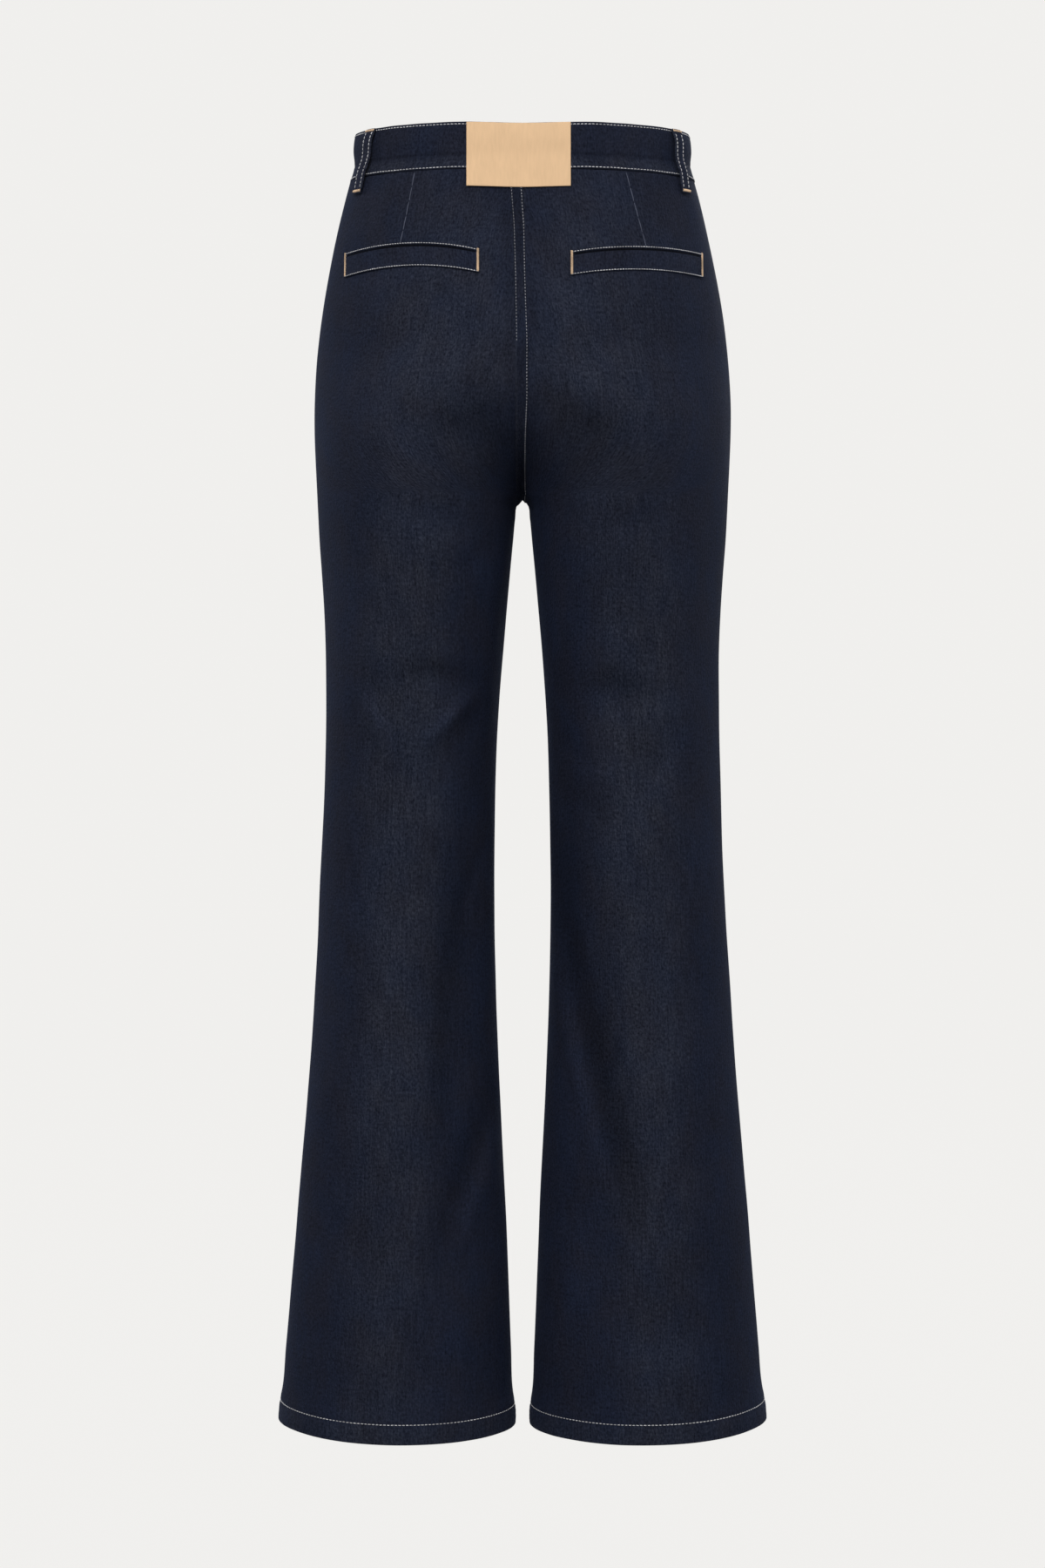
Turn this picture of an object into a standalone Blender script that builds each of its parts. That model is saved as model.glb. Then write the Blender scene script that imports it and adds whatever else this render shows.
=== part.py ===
"""High-rise bootcut jeans, filled out as they hang when worn, with nobody inside.

Units are metres and +Z is up. The origin is the middle of the waist at the level of the waistband's
top edge, where the wearer holds the jeans up. The wearer faces +Y, so the seat faces -Y, the wearer's
right leg is at +X and the left leg at -X.

Every piece of cloth is a wall through one smooth form. A point of the form has a side (+1 right,
-1 left), a turn and a drop. The drop is the distance below the waist edge. The turn is an angle round
that side's leg: 0 faces the other leg, a quarter turn faces back, a half turn faces the side and three
quarters face front. Above the crotch the two legs' sections run into each other, and each side is cut
off at the middle, which gives the seat, the front and the U of the crotch seam.
"""

import math
from collections import namedtuple

import bmesh
import bpy
from mathutils import Matrix, Vector

# Driving sizes.
BAND_HEIGHT = 0.038
CROTCH_DROP = 0.298
SIDE_LENGTH = 1.070
CROTCH_RISE = 0.120
CROTCH_ROUNDNESS = 1.35
CROTCH_NOTCH = 0.0034
CROTCH_NOTCH_OPEN = 0.004
CROTCH_NOTCH_END = 0.150
NOTCH_SHARPNESS = 6
DENIM = 0.0014
BAND_THICK = 0.0028
BAND_PROUD = 0.0008
SEAM_GAP = 0.0003
HEM_HEIGHT = 0.0175
HEM_PROUD = 0.0009
HEM_THICK = 0.0024
HEM_STEP = 0.008
HEM_SIDE_LIFT = 0.0040
HEM_SAG = 0.0034
HEM_CURVE_START = 0.940
FRONT_DIP = 0.012
FRONT_DIP_END = 0.160
BACK_DIP = 0.002
BACK_DIP_REACH = 0.060

# How much the seat and the front are filled out towards the middle seam just above the crotch.
SEAT_FLATTER = 0.30
FRONT_FLATTER = 0.45

# Seam places: the side seam's turn, and how far the inside leg seam leans towards the front.
SIDE_SEAM_TURN = math.radians(188)
INSEAM_LEAN = math.radians(6)
INSEAM_LEAN_LENGTH = 0.150

QUARTER = math.pi / 2
HALF = math.pi
FULL = 2 * math.pi

# The form, section by section: half the width over both legs, half the gap between the legs, and how
# far the cloth stands behind and in front of the plane of the side seams, which lies at y = middle.
Section = namedtuple("Section", "drop outer gap middle back front")
SECTIONS = [
    Section(0.000, 0.1370, 0.0000, 0.000, 0.096, 0.097),
    Section(0.010, 0.1386, 0.0000, 0.000, 0.098, 0.098),
    Section(0.024, 0.1377, 0.0000, 0.000, 0.099, 0.099),
    Section(0.038, 0.1416, 0.0000, 0.000, 0.102, 0.101),
    Section(0.075, 0.1514, 0.0000, 0.000, 0.111, 0.105),
    Section(0.120, 0.1608, 0.0000, -0.001, 0.122, 0.108),
    Section(0.165, 0.1676, 0.0000, -0.002, 0.131, 0.109),
    Section(0.205, 0.1710, 0.0000, -0.002, 0.135, 0.108),
    Section(0.245, 0.1719, 0.0000, -0.003, 0.134, 0.107),
    Section(0.298, 0.1697, 0.0000, -0.004, 0.123, 0.104),
    Section(0.303, 0.1695, 0.0042, -0.004, 0.122, 0.104),
    Section(0.335, 0.1681, 0.0080, -0.004, 0.114, 0.101),
    Section(0.370, 0.1655, 0.0112, -0.004, 0.106, 0.097),
    Section(0.425, 0.1628, 0.0158, -0.003, 0.096, 0.091),
    Section(0.510, 0.1633, 0.0214, -0.002, 0.083, 0.082),
    Section(0.600, 0.1671, 0.0233, 0.000, 0.076, 0.076),
    Section(0.700, 0.1727, 0.0222, 0.000, 0.074, 0.074),
    Section(0.800, 0.1798, 0.0184, 0.000, 0.075, 0.075),
    Section(0.900, 0.1884, 0.0138, 0.000, 0.077, 0.077),
    Section(1.000, 0.1977, 0.0096, 0.000, 0.079, 0.079),
    Section(1.070, 0.2044, 0.0066, 0.000, 0.081, 0.081),
]

# The largest folds, each a soft trough between two points of its side: x out from the middle, the drop
# there, half the trough's width and its depth. A front fold lies on the front of the leg.
Fold = namedtuple("Fold", "side front x1 drop1 x2 drop2 half_width depth")
FOLDS = [
    Fold(+1, False, 0.010, 0.232, 0.088, 0.262, 0.020, 0.0050),
    Fold(-1, False, 0.010, 0.240, 0.078, 0.252, 0.020, 0.0050),
    Fold(+1, False, 0.030, 0.535, 0.100, 0.905, 0.019, 0.0060),
    Fold(+1, False, 0.036, 0.860, 0.104, 1.020, 0.018, 0.0040),
    Fold(-1, False, 0.033, 0.530, 0.064, 0.900, 0.019, 0.0055),
    Fold(-1, False, 0.026, 0.880, 0.094, 1.030, 0.018, 0.0035),
    Fold(+1, False, 0.040, 0.455, 0.138, 0.505, 0.016, 0.0030),
    Fold(-1, False, 0.042, 0.500, 0.140, 0.455, 0.016, 0.0030),
    Fold(+1, True, 0.016, 0.272, 0.112, 0.226, 0.017, 0.0022),
    Fold(-1, True, 0.018, 0.266, 0.100, 0.234, 0.017, 0.0022),
    Fold(+1, True, 0.040, 0.470, 0.130, 0.520, 0.018, 0.0035),
    Fold(-1, True, 0.044, 0.515, 0.128, 0.462, 0.018, 0.0035),
    Fold(+1, True, 0.034, 0.560, 0.110, 0.930, 0.020, 0.0050),
    Fold(-1, True, 0.038, 0.590, 0.098, 0.950, 0.020, 0.0045),
]
FOLD_END_SHARE = 0.08
FOLD_FACING_START = 0.10
FOLD_FACING_FULL = 0.45

# Back pockets: one welt each, arched, with its ends and middle at these places.
Welt = namedtuple("Welt", "side inner outer drop_inner drop_middle drop_outer height_inner height_outer")
WELTS = [
    Welt(-1, 0.0343, 0.1428, 0.1041, 0.0971, 0.1016, 0.0190, 0.0198),
    Welt(+1, 0.0380, 0.1448, 0.1060, 0.1000, 0.1014, 0.0194, 0.0198),
]
WELT_THICK = 0.0012
WELT_CLEAR = 0.0004

# Front pockets: the opening slants from the band to the side seam, over a facing set behind it.
POCKET_TOP_TURN = math.radians(229)
POCKET_END_DROP = 0.195
POCKET_CURVE = 1.25
FACING_UNDER_SIDE = 0.0025
FACING_UNDER_FRONT = 0.014
FACING_CLEAR = 0.0013
FACING_BELOW = 0.010
FACING_ROWS = 8
FACING_COLUMNS = 6

# Fly on the left front: its stitched edge runs straight down and turns in to the middle as a J.
FLY_WIDTH = 0.038
FLY_PAST_MIDDLE = 0.005
FLY_END_DROP = 0.203
FLY_TURN_LENGTH = 0.050
FLY_FOOT = 0.003
FLY_ROWS = 10
FLY_COLUMNS = 6

BAND_LAP = 0.022
LAP_RISE_LENGTH = 0.030

LABEL_LEFT = -0.0442
LABEL_RIGHT = 0.0380
LABEL_LENGTH = 0.0525
LABEL_THICK = 0.0010
LABEL_TOP = 0.0006
LABEL_ROWS = 5
LABEL_COLUMNS = 9

# Belt loops: the turn at the top edge and at the foot, for one back and one front loop on each side.
Loop = namedtuple("Loop", "side name turn_top turn_foot")
LOOPS = [
    Loop(-1, "back", math.radians(151.6), math.radians(156.3)),
    Loop(+1, "back", math.radians(153.3), math.radians(155.0)),
    Loop(-1, "front", math.radians(230), math.radians(229)),
    Loop(+1, "front", math.radians(230), math.radians(229)),
]
LOOP_WIDTH = 0.011
LOOP_THICK = 0.0018
LOOP_TOP = 0.0006
LOOP_LENGTH = 0.0525
LOOP_SLACK = 0.0026
LOOP_SLACK_FULLNESS = 0.7
LOOP_STATIONS = 11
LOOP_STEP_START = 0.001
LOOP_STEP_END = 0.006

BUTTON_RADIUS = 0.0085
BUTTON_DEPTH = 0.0040
BUTTON_X = 0.006
BUTTON_GAP = 0.0007
BUTTON_SIDES = 24

# The button's outline, as shares of its radius and its depth, from the stem out and round to the middle.
Turning = namedtuple("Turning", "radius height")
BUTTON_OUTLINE = [
    Turning(0.00, 0.00),
    Turning(0.35, 0.00),
    Turning(0.35, 0.32),
    Turning(0.92, 0.32),
    Turning(1.00, 0.45),
    Turning(0.96, 0.86),
    Turning(0.80, 1.00),
    Turning(0.66, 0.84),
    Turning(0.00, 0.90),
]

# The rows of a leg panel: above the crotch seam's turn, along that turn as shares of its height, just
# below it, and then evenly down the leg.
TORSO_DROPS = (0.060, 0.085, 0.110, 0.134, 0.158)
CROTCH_SHARES = (1, 0.78, 0.56, 0.38, 0.23, 0.12, 0.045, 0)
BELOW_CROTCH = (0.005, 0.016, 0.034, 0.062)
LEG_START = 0.395
LEG_ROWS = 19
PANEL_COLUMNS = 13
BAND_COLUMNS = 23
BAND_ROWS = 4
BAND_CROWDING = 1.25
LAP_COLUMNS = 3
WELT_ROWS = 3
WELT_COLUMNS = 13
SHARP_EDGE = math.radians(40)
NAMES = {-1: "left", +1: "right"}

Finish = namedtuple("Finish", "name color roughness metallic")
DENIM_BLUE = Finish("indigo_denim", (0.016, 0.021, 0.040, 1.0), 0.85, 0.0)
LABEL_TAN = Finish("tan_label", (0.74, 0.50, 0.29, 1.0), 0.70, 0.0)
BUTTON_COPPER = Finish("copper_button", (0.55, 0.30, 0.16, 1.0), 0.35, 1.0)


def smooth(value, low, high):
    """0 below low, 1 above high and an S curve between."""
    share = min(1.0, max(0.0, (value - low) / (high - low)))
    return share * share * (3 - 2 * share)


def curve_slope(rows, i, column):
    """The slope of a column of the section table at row i, flat at neither end."""
    before = rows[max(0, i - 1)]
    after = rows[min(len(rows) - 1, i + 1)]
    return (getattr(after, column) - getattr(before, column)) / (after.drop - before.drop)


def section(drop):
    """The section at a drop, read from smooth curves through the table's rows."""
    last = len(SECTIONS) - 2
    i = max(k for k in range(last + 1) if SECTIONS[k].drop <= drop or k == 0)
    a, b = SECTIONS[i], SECTIONS[i + 1]
    span = b.drop - a.drop
    s = (drop - a.drop) / span
    values = {}
    for column in Section._fields[1:]:
        start = (1 + 2 * s) * (1 - s) ** 2 * getattr(a, column)
        end = s * s * (3 - 2 * s) * getattr(b, column)
        leave = s * (1 - s) ** 2 * span * curve_slope(SECTIONS, i, column)
        arrive = s * s * (s - 1) * span * curve_slope(SECTIONS, i + 1, column)
        values[column] = start + end + leave + arrive
    return Section(drop=drop, **values)


def merging(drop):
    """How far apart the legs' sections are: 0 where they are one, 1 from the crotch down."""
    above = min(1.0, max(0.0, (CROTCH_DROP - drop) / CROTCH_RISE))
    return 1 - above**CROTCH_ROUNDNESS


def notch(drop):
    """The part of the half gap between the legs that only the inside of the leg gives way for."""
    opening = smooth(drop, CROTCH_DROP, CROTCH_DROP + CROTCH_NOTCH_OPEN)
    closing = smooth(drop, CROTCH_DROP + 2 * CROTCH_NOTCH_OPEN, CROTCH_DROP + CROTCH_NOTCH_END)
    return CROTCH_NOTCH * opening * (1 - closing)


def middle_turn(drop):
    """The turn at which a side's back meets the middle plane; 0 from the crotch down."""
    return math.acos(merging(drop))


def plain_form(turn, drop):
    """A point of the right side's form with no fold in it."""
    s = section(drop)
    share = merging(drop)
    if drop < CROTCH_DROP:
        radius = s.outer / (1 + share)
        centre = share * radius
    else:
        gap = max(0.0, s.gap - notch(drop))
        radius = (s.outer - gap) / 2
        centre = (s.outer + gap) / 2
    across = math.sin(turn)
    x = centre - radius * math.cos(turn) + notch(drop) * max(0.0, math.cos(turn)) ** NOTCH_SHARPNESS
    flatter = 4 * share * (1 - share) if x < centre else 0.0
    if across >= 0:
        y = s.middle - s.back * across ** (1 - SEAT_FLATTER * flatter)
    else:
        y = s.middle + s.front * (-across) ** (1 - FRONT_FLATTER * flatter)
    waist = 1 - smooth(drop, BAND_HEIGHT, FRONT_DIP_END)
    lower = FRONT_DIP * smooth(y, 0.0, s.front) * waist
    if y < 0:
        lower += BACK_DIP * (1 - smooth(abs(x), 0.0, BACK_DIP_REACH)) * waist
    return Vector((x, y, -drop - lower))


def plain_normal(turn, drop):
    """The outward direction of the right side's form."""
    step_turn, step_drop = 1e-3, 1e-4
    round_way = plain_form(turn + step_turn, drop) - plain_form(turn - step_turn, drop)
    down_way = plain_form(turn, drop + step_drop) - plain_form(turn, drop - step_drop)
    normal = down_way.cross(round_way).normalized()
    outward = Vector((-math.cos(turn), -math.sin(turn), 0))
    return normal if normal.dot(outward) > 0 else -normal


def fold_depth(side, x, drop, facing):
    """How deep the folds are at a place whose outward direction has this y."""
    depth = 0.0
    for fold in FOLDS:
        if fold.side != side or fold.front != (facing > 0):
            continue
        run = Vector((fold.x2 - fold.x1, fold.drop2 - fold.drop1))
        place = Vector((x - fold.x1, drop - fold.drop1))
        along = min(1.0, max(0.0, place.dot(run) / run.length_squared))
        away = (place - along * run).length / fold.half_width
        taper = math.sin(HALF * (FOLD_END_SHARE + (1 - 2 * FOLD_END_SHARE) * along))
        depth += fold.depth * math.exp(-away * away) * taper
    return depth * smooth(abs(facing), FOLD_FACING_START, FOLD_FACING_FULL)


def form(side, turn, drop):
    """A point of a side's form, folds and all, and the outward direction there."""
    point = plain_form(turn, drop)
    normal = plain_normal(turn, drop)
    point -= normal * fold_depth(side, point.x, drop, normal.y)
    point.x += SEAM_GAP / 2
    return Vector((side * point.x, point.y, point.z)), Vector((side * normal.x, normal.y, normal.z))


def speed(turn, drop):
    """How far the form's point moves for each radian of turn."""
    step = 1e-3
    return (plain_form(turn + step, drop) - plain_form(turn - step, drop)).length / (2 * step)


def surface(finish):
    """The material of a finish, made once."""
    material = bpy.data.materials.get(finish.name) or bpy.data.materials.new(finish.name)
    material.use_nodes = True
    material.diffuse_color = finish.color
    shader = material.node_tree.nodes["Principled BSDF"]
    shader.inputs["Base Color"].default_value = finish.color
    shader.inputs["Roughness"].default_value = finish.roughness
    shader.inputs["Metallic"].default_value = finish.metallic
    return material


def add_object(name, mesh_builder, finish):
    """An object from a finished bmesh, with its faces pointing out and shaded smooth."""
    bmesh.ops.recalc_face_normals(mesh_builder, faces=mesh_builder.faces)
    bmesh.ops.triangulate(mesh_builder, faces=mesh_builder.faces, quad_method="SHORT_EDGE")
    mesh = bpy.data.meshes.new(name)
    mesh_builder.to_mesh(mesh)
    mesh_builder.free()
    mesh.materials.append(surface(finish))
    mesh.shade_smooth()
    mesh.set_sharp_from_angle(angle=SHARP_EDGE)
    made = bpy.data.objects.new(name, mesh)
    bpy.context.scene.collection.objects.link(made)
    return made


def wall(name, grid, finish):
    """A closed wall of cloth from rows of (point, outward direction, lift, thickness)."""
    build = bmesh.new()
    sheets = []
    for inner in (False, True):
        sheet = []
        for row in grid:
            offsets = [lift - thick if inner else lift for _, _, lift, thick in row]
            sheet.append([build.verts.new(c[0] + c[1] * o) for c, o in zip(row, offsets)])
        sheets.append(sheet)
    rows, columns = len(grid), len(grid[0])
    for sheet in sheets:
        for i in range(rows - 1):
            for j in range(columns - 1):
                build.faces.new((sheet[i][j], sheet[i][j + 1], sheet[i + 1][j + 1], sheet[i + 1][j]))
    outer, inner = sheets
    for i in range(rows - 1):
        for j in (0, columns - 1):
            build.faces.new((outer[i][j], outer[i + 1][j], inner[i + 1][j], inner[i][j]))
    for j in range(columns - 1):
        for i in (0, rows - 1):
            build.faces.new((outer[i][j], outer[i][j + 1], inner[i][j + 1], inner[i][j]))
    return add_object(name, build, finish)


def pocket_edge(drop):
    """The turn of the front panel's outer edge: the pocket's slant, then the side seam."""
    share = min(1.0, max(0.0, (drop - BAND_HEIGHT) / (POCKET_END_DROP - BAND_HEIGHT)))
    return POCKET_TOP_TURN + (SIDE_SEAM_TURN - POCKET_TOP_TURN) * share**POCKET_CURVE


def inseam_lean(drop):
    """How far the inside leg seam lies towards the front, as a turn."""
    return INSEAM_LEAN * smooth(drop, CROTCH_DROP, CROTCH_DROP + INSEAM_LEAN_LENGTH)


def inner_edge(drop, front):
    """The turn of a panel's edge at the middle seam or the inside leg seam."""
    if drop < CROTCH_DROP:
        turn = middle_turn(drop)
        return FULL - turn if front else turn
    gap = SEAM_GAP / 2 / speed(0.0, drop)
    return FULL - inseam_lean(drop) - gap if front else gap - inseam_lean(drop)


def panel_drops():
    """The rows of a leg panel, closest together where the crotch seam turns under."""
    hem_top = SIDE_LENGTH - HEM_HEIGHT
    crotch = [CROTCH_DROP - CROTCH_RISE * share for share in CROTCH_SHARES]
    below = [CROTCH_DROP + further for further in BELOW_CROTCH]
    leg_length = hem_top - HEM_STEP - LEG_START
    leg = [LEG_START + leg_length * i / (LEG_ROWS - 1) for i in range(LEG_ROWS)]
    return [BAND_HEIGHT + SEAM_GAP, *TORSO_DROPS, *crotch, *below, *leg, hem_top, SIDE_LENGTH]


def hem_curve(turn, drop):
    """How much lower a point near the hem lies: the hem is raised at the side and sags at the back and front."""
    raised = HEM_SIDE_LIFT * (1 - math.cos(turn)) / 2
    sagged = HEM_SAG * math.sin(turn) ** 2
    return (sagged - raised) * smooth(drop, HEM_CURVE_START, SIDE_LENGTH)


def leg_panel(side, front):
    """One of the four leg panels, from the band to the hem."""
    grid = []
    for drop in panel_drops():
        first = inner_edge(drop, front)
        last = pocket_edge(drop) if front else SIDE_SEAM_TURN
        half_gap = SEAM_GAP / 2 / speed(last, drop)
        last += half_gap if front else -half_gap
        hem = smooth(drop, SIDE_LENGTH - HEM_HEIGHT - HEM_STEP, SIDE_LENGTH - HEM_HEIGHT)
        thick = DENIM + (HEM_THICK - DENIM) * hem
        row = []
        for j in range(PANEL_COLUMNS):
            turn = first + (last - first) * j / (PANEL_COLUMNS - 1)
            row.append((*form(side, turn, drop + hem_curve(turn, drop)), HEM_PROUD * hem, thick))
        grid.append(row)
    wall(f"{'front' if front else 'back'}_{NAMES[side]}", grid, DENIM_BLUE)


def pocket_facing(side):
    """The side piece that shows in a front pocket's opening, a layer behind the front."""
    start = BAND_HEIGHT + SEAM_GAP
    end = POCKET_END_DROP + FACING_BELOW
    grid = []
    for i in range(FACING_ROWS):
        drop = start + (end - start) * i / (FACING_ROWS - 1)
        first = SIDE_SEAM_TURN - FACING_UNDER_SIDE / speed(HALF, drop)
        last = pocket_edge(drop) + FACING_UNDER_FRONT / speed(HALF, drop)
        row = []
        for j in range(FACING_COLUMNS):
            turn = first + (last - first) * j / (FACING_COLUMNS - 1)
            row.append((*form(side, turn, drop), -DENIM - FACING_CLEAR, DENIM))
        grid.append(row)
    wall(f"pocket_facing_{NAMES[side]}", grid, DENIM_BLUE)


def torso_turn(x, drop, front):
    """The turn of the form at a distance x from the middle, on the seat or the front."""
    share = merging(drop)
    radius = section(drop).outer / (1 + share)
    turn = math.acos((share * radius - x) / radius)
    return FULL - turn if front else turn


def band_turns(side, drop):
    """The columns of half a waistband, closer together towards the front, with the left half's lap."""
    turns = []
    for j in range(BAND_COLUMNS):
        left_to_go = 1 - j / (BAND_COLUMNS - 1)
        turns.append(3 * QUARTER - HALF * left_to_go**BAND_CROWDING)
    if side < 0:
        for j in range(1, LAP_COLUMNS + 1):
            turns.append(torso_turn(-BAND_LAP * j / LAP_COLUMNS, drop, True))
    return turns


def waistband(side):
    """Half of the waistband. The left half laps over the right at the front."""
    grid = []
    for i in range(BAND_ROWS):
        drop = BAND_HEIGHT * i / (BAND_ROWS - 1)
        row = []
        for turn in band_turns(side, drop):
            point, normal = form(side, turn, drop)
            near_lap = side < 0 and point.y > 0
            lap = smooth(point.x, -LAP_RISE_LENGTH, -SEAM_GAP) if near_lap else 0.0
            lift = BAND_PROUD + (BAND_THICK + SEAM_GAP) * lap
            row.append((point, normal, lift, BAND_THICK))
        grid.append(row)
    wall(f"waistband_{NAMES[side]}", grid, DENIM_BLUE)


def arch(welt, share):
    """The drop of a welt's upper edge, a share of the way out along it."""
    chord = welt.drop_inner + (welt.drop_outer - welt.drop_inner) * share
    rise = (welt.drop_inner + welt.drop_outer) / 2 - welt.drop_middle
    return chord - rise * 4 * share * (1 - share)


def pocket_welt(welt):
    """The welt of a back pocket: a strip on the back panel."""
    grid = []
    for i in range(WELT_ROWS):
        row = []
        for j in range(WELT_COLUMNS):
            share = j / (WELT_COLUMNS - 1)
            x = welt.inner + (welt.outer - welt.inner) * share
            height = welt.height_inner + (welt.height_outer - welt.height_inner) * share
            drop = arch(welt, share) + height * i / (WELT_ROWS - 1)
            turn = torso_turn(x, drop, False)
            row.append((*form(welt.side, turn, drop), WELT_CLEAR + WELT_THICK, WELT_THICK))
        grid.append(row)
    wall(f"pocket_welt_{NAMES[welt.side]}", grid, DENIM_BLUE)


def fly_left_edge(drop):
    """The distance of the fly's stitched edge from the middle."""
    turn_start = FLY_END_DROP - FLY_TURN_LENGTH
    share = min(1.0, max(0.0, (drop - turn_start) / FLY_TURN_LENGTH))
    return FLY_FOOT + (FLY_WIDTH - FLY_FOOT) * math.sqrt(1 - share * share)


def middle_point(x, drop, front):
    """A point of the form at any x near the middle, where either side may hold it."""
    side = 1 if x >= 0 else -1
    return form(side, torso_turn(abs(x), drop, front), drop)


def fly():
    """The fly, folded back on the left front and reaching just past the middle."""
    start = BAND_HEIGHT + 2 * SEAM_GAP
    grid = []
    for i in range(FLY_ROWS):
        share = math.sin(QUARTER * i / (FLY_ROWS - 1))
        drop = start + (FLY_END_DROP - start) * share
        left = -fly_left_edge(drop)
        row = []
        for j in range(FLY_COLUMNS):
            x = left + (FLY_PAST_MIDDLE - left) * j / (FLY_COLUMNS - 1)
            row.append((*middle_point(x, drop, True), WELT_CLEAR + DENIM, DENIM))
        grid.append(row)
    wall("fly", grid, DENIM_BLUE)


def label():
    """The bare label at the middle of the back, from the band's top edge to below the band."""
    grid = []
    for i in range(LABEL_ROWS):
        drop = LABEL_TOP + (LABEL_LENGTH - LABEL_TOP) * i / (LABEL_ROWS - 1)
        row = []
        for j in range(LABEL_COLUMNS):
            x = LABEL_LEFT + (LABEL_RIGHT - LABEL_LEFT) * j / (LABEL_COLUMNS - 1)
            lift = BAND_PROUD + WELT_CLEAR + LABEL_THICK
            row.append((*middle_point(x, drop, False), lift, LABEL_THICK))
        grid.append(row)
    wall("back_label", grid, LABEL_TAN)


def belt_loop(loop):
    """A belt loop: sewn down at both ends, and slack over the band between them."""
    grid = []
    for i in range(LOOP_STATIONS):
        share = i / (LOOP_STATIONS - 1)
        drop = LOOP_TOP + (LOOP_LENGTH - LOOP_TOP) * share
        turn = loop.turn_top + (loop.turn_foot - loop.turn_top) * share
        on_band = 1 - smooth(drop, BAND_HEIGHT + LOOP_STEP_START, BAND_HEIGHT + LOOP_STEP_END)
        held = i in (0, LOOP_STATIONS - 1)
        slack = 0.0 if held else LOOP_SLACK * math.sin(HALF * share) ** LOOP_SLACK_FULLNESS
        lift = BAND_PROUD * on_band + WELT_CLEAR + slack + LOOP_THICK
        half_turn = LOOP_WIDTH / 2 / speed(turn, drop)
        row = []
        for j in (-1, 0, 1):
            row.append((*form(loop.side, turn + j * half_turn, drop), lift, LOOP_THICK))
        grid.append(row)
    wall(f"belt_loop_{loop.name}_{NAMES[loop.side]}", grid, DENIM_BLUE)


def button():
    """The waist button: a turned metal cap on a short stem, on the lapped end of the band."""
    drop = BAND_HEIGHT / 2
    point, normal = middle_point(BUTTON_X, drop, True)
    base = point + normal * (BAND_PROUD + BAND_THICK + BUTTON_GAP)
    build = bmesh.new()
    line = [build.verts.new((BUTTON_RADIUS * r, 0, BUTTON_DEPTH * h)) for r, h in BUTTON_OUTLINE]
    edges = [build.edges.new(pair) for pair in zip(line, line[1:])]
    bmesh.ops.spin(
        build, geom=line + edges, cent=(0, 0, 0), axis=(0, 0, 1), angle=FULL, steps=BUTTON_SIDES
    )
    bmesh.ops.remove_doubles(build, verts=build.verts, dist=1e-6)
    outward = normal.to_track_quat("Z", "X").to_matrix().to_4x4()
    bmesh.ops.transform(build, matrix=Matrix.Translation(base) @ outward, verts=build.verts)
    add_object("waist_button", build, BUTTON_COPPER)


def main():
    for thing in list(bpy.data.objects):
        bpy.data.objects.remove(thing)
    for side in (-1, +1):
        leg_panel(side, front=False)
        leg_panel(side, front=True)
        pocket_facing(side)
        waistband(side)
    for loop in LOOPS:
        belt_loop(loop)
    for welt in WELTS:
        pocket_welt(welt)
    fly()
    label()
    button()


main()
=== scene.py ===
"""High-rise bootcut jeans in dark indigo denim, filled out as worn and seen from behind.

Each piece of cloth is a fine sheet drawn smoothly through the points of its solid, with creases
pressed into it, and the sewing lies on those sheets. A place on the garment is given as x, the distance
from the middle, and drop, the distance below the waist edge. All sizes are metres.
"""

import math
from collections import namedtuple

import bmesh
import bpy
import numpy as np
from bpy.props import FloatProperty, FloatVectorProperty, PointerProperty
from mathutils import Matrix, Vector, noise
from mathutils.bvhtree import BVHTree


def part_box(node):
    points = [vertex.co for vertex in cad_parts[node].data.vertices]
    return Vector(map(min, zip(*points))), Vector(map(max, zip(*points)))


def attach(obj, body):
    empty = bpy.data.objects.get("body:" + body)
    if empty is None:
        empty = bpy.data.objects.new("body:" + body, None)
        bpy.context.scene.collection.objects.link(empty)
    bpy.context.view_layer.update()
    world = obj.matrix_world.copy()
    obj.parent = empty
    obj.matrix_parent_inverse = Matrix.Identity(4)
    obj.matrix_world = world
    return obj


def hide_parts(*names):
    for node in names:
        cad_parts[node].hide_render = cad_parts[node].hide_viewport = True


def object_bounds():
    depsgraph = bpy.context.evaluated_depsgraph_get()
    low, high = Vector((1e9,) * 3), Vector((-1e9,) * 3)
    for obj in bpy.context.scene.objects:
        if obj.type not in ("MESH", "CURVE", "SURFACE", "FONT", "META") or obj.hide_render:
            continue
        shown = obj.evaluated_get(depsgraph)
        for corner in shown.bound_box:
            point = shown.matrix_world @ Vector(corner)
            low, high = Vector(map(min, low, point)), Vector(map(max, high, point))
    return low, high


bl_info = {
    "name": "Bootcut Jeans",
    "version": (1, 0, 0),
    "blender": (4, 5, 0),
    "location": "3D View > Sidebar > Jeans",
    "description": "Dresses the jeans' solids in denim, sewing, a bare label and a metal button",
    "category": "Add Mesh",
}

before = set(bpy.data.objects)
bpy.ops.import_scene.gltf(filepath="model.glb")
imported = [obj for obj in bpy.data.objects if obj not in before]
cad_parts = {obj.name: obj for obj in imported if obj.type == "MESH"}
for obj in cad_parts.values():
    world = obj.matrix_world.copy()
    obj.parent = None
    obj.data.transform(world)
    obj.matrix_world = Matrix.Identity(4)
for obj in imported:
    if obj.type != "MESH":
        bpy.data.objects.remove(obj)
CAD_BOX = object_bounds()

SIDES = ("left", "right")
BACK, FRONT = -1, +1

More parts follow.
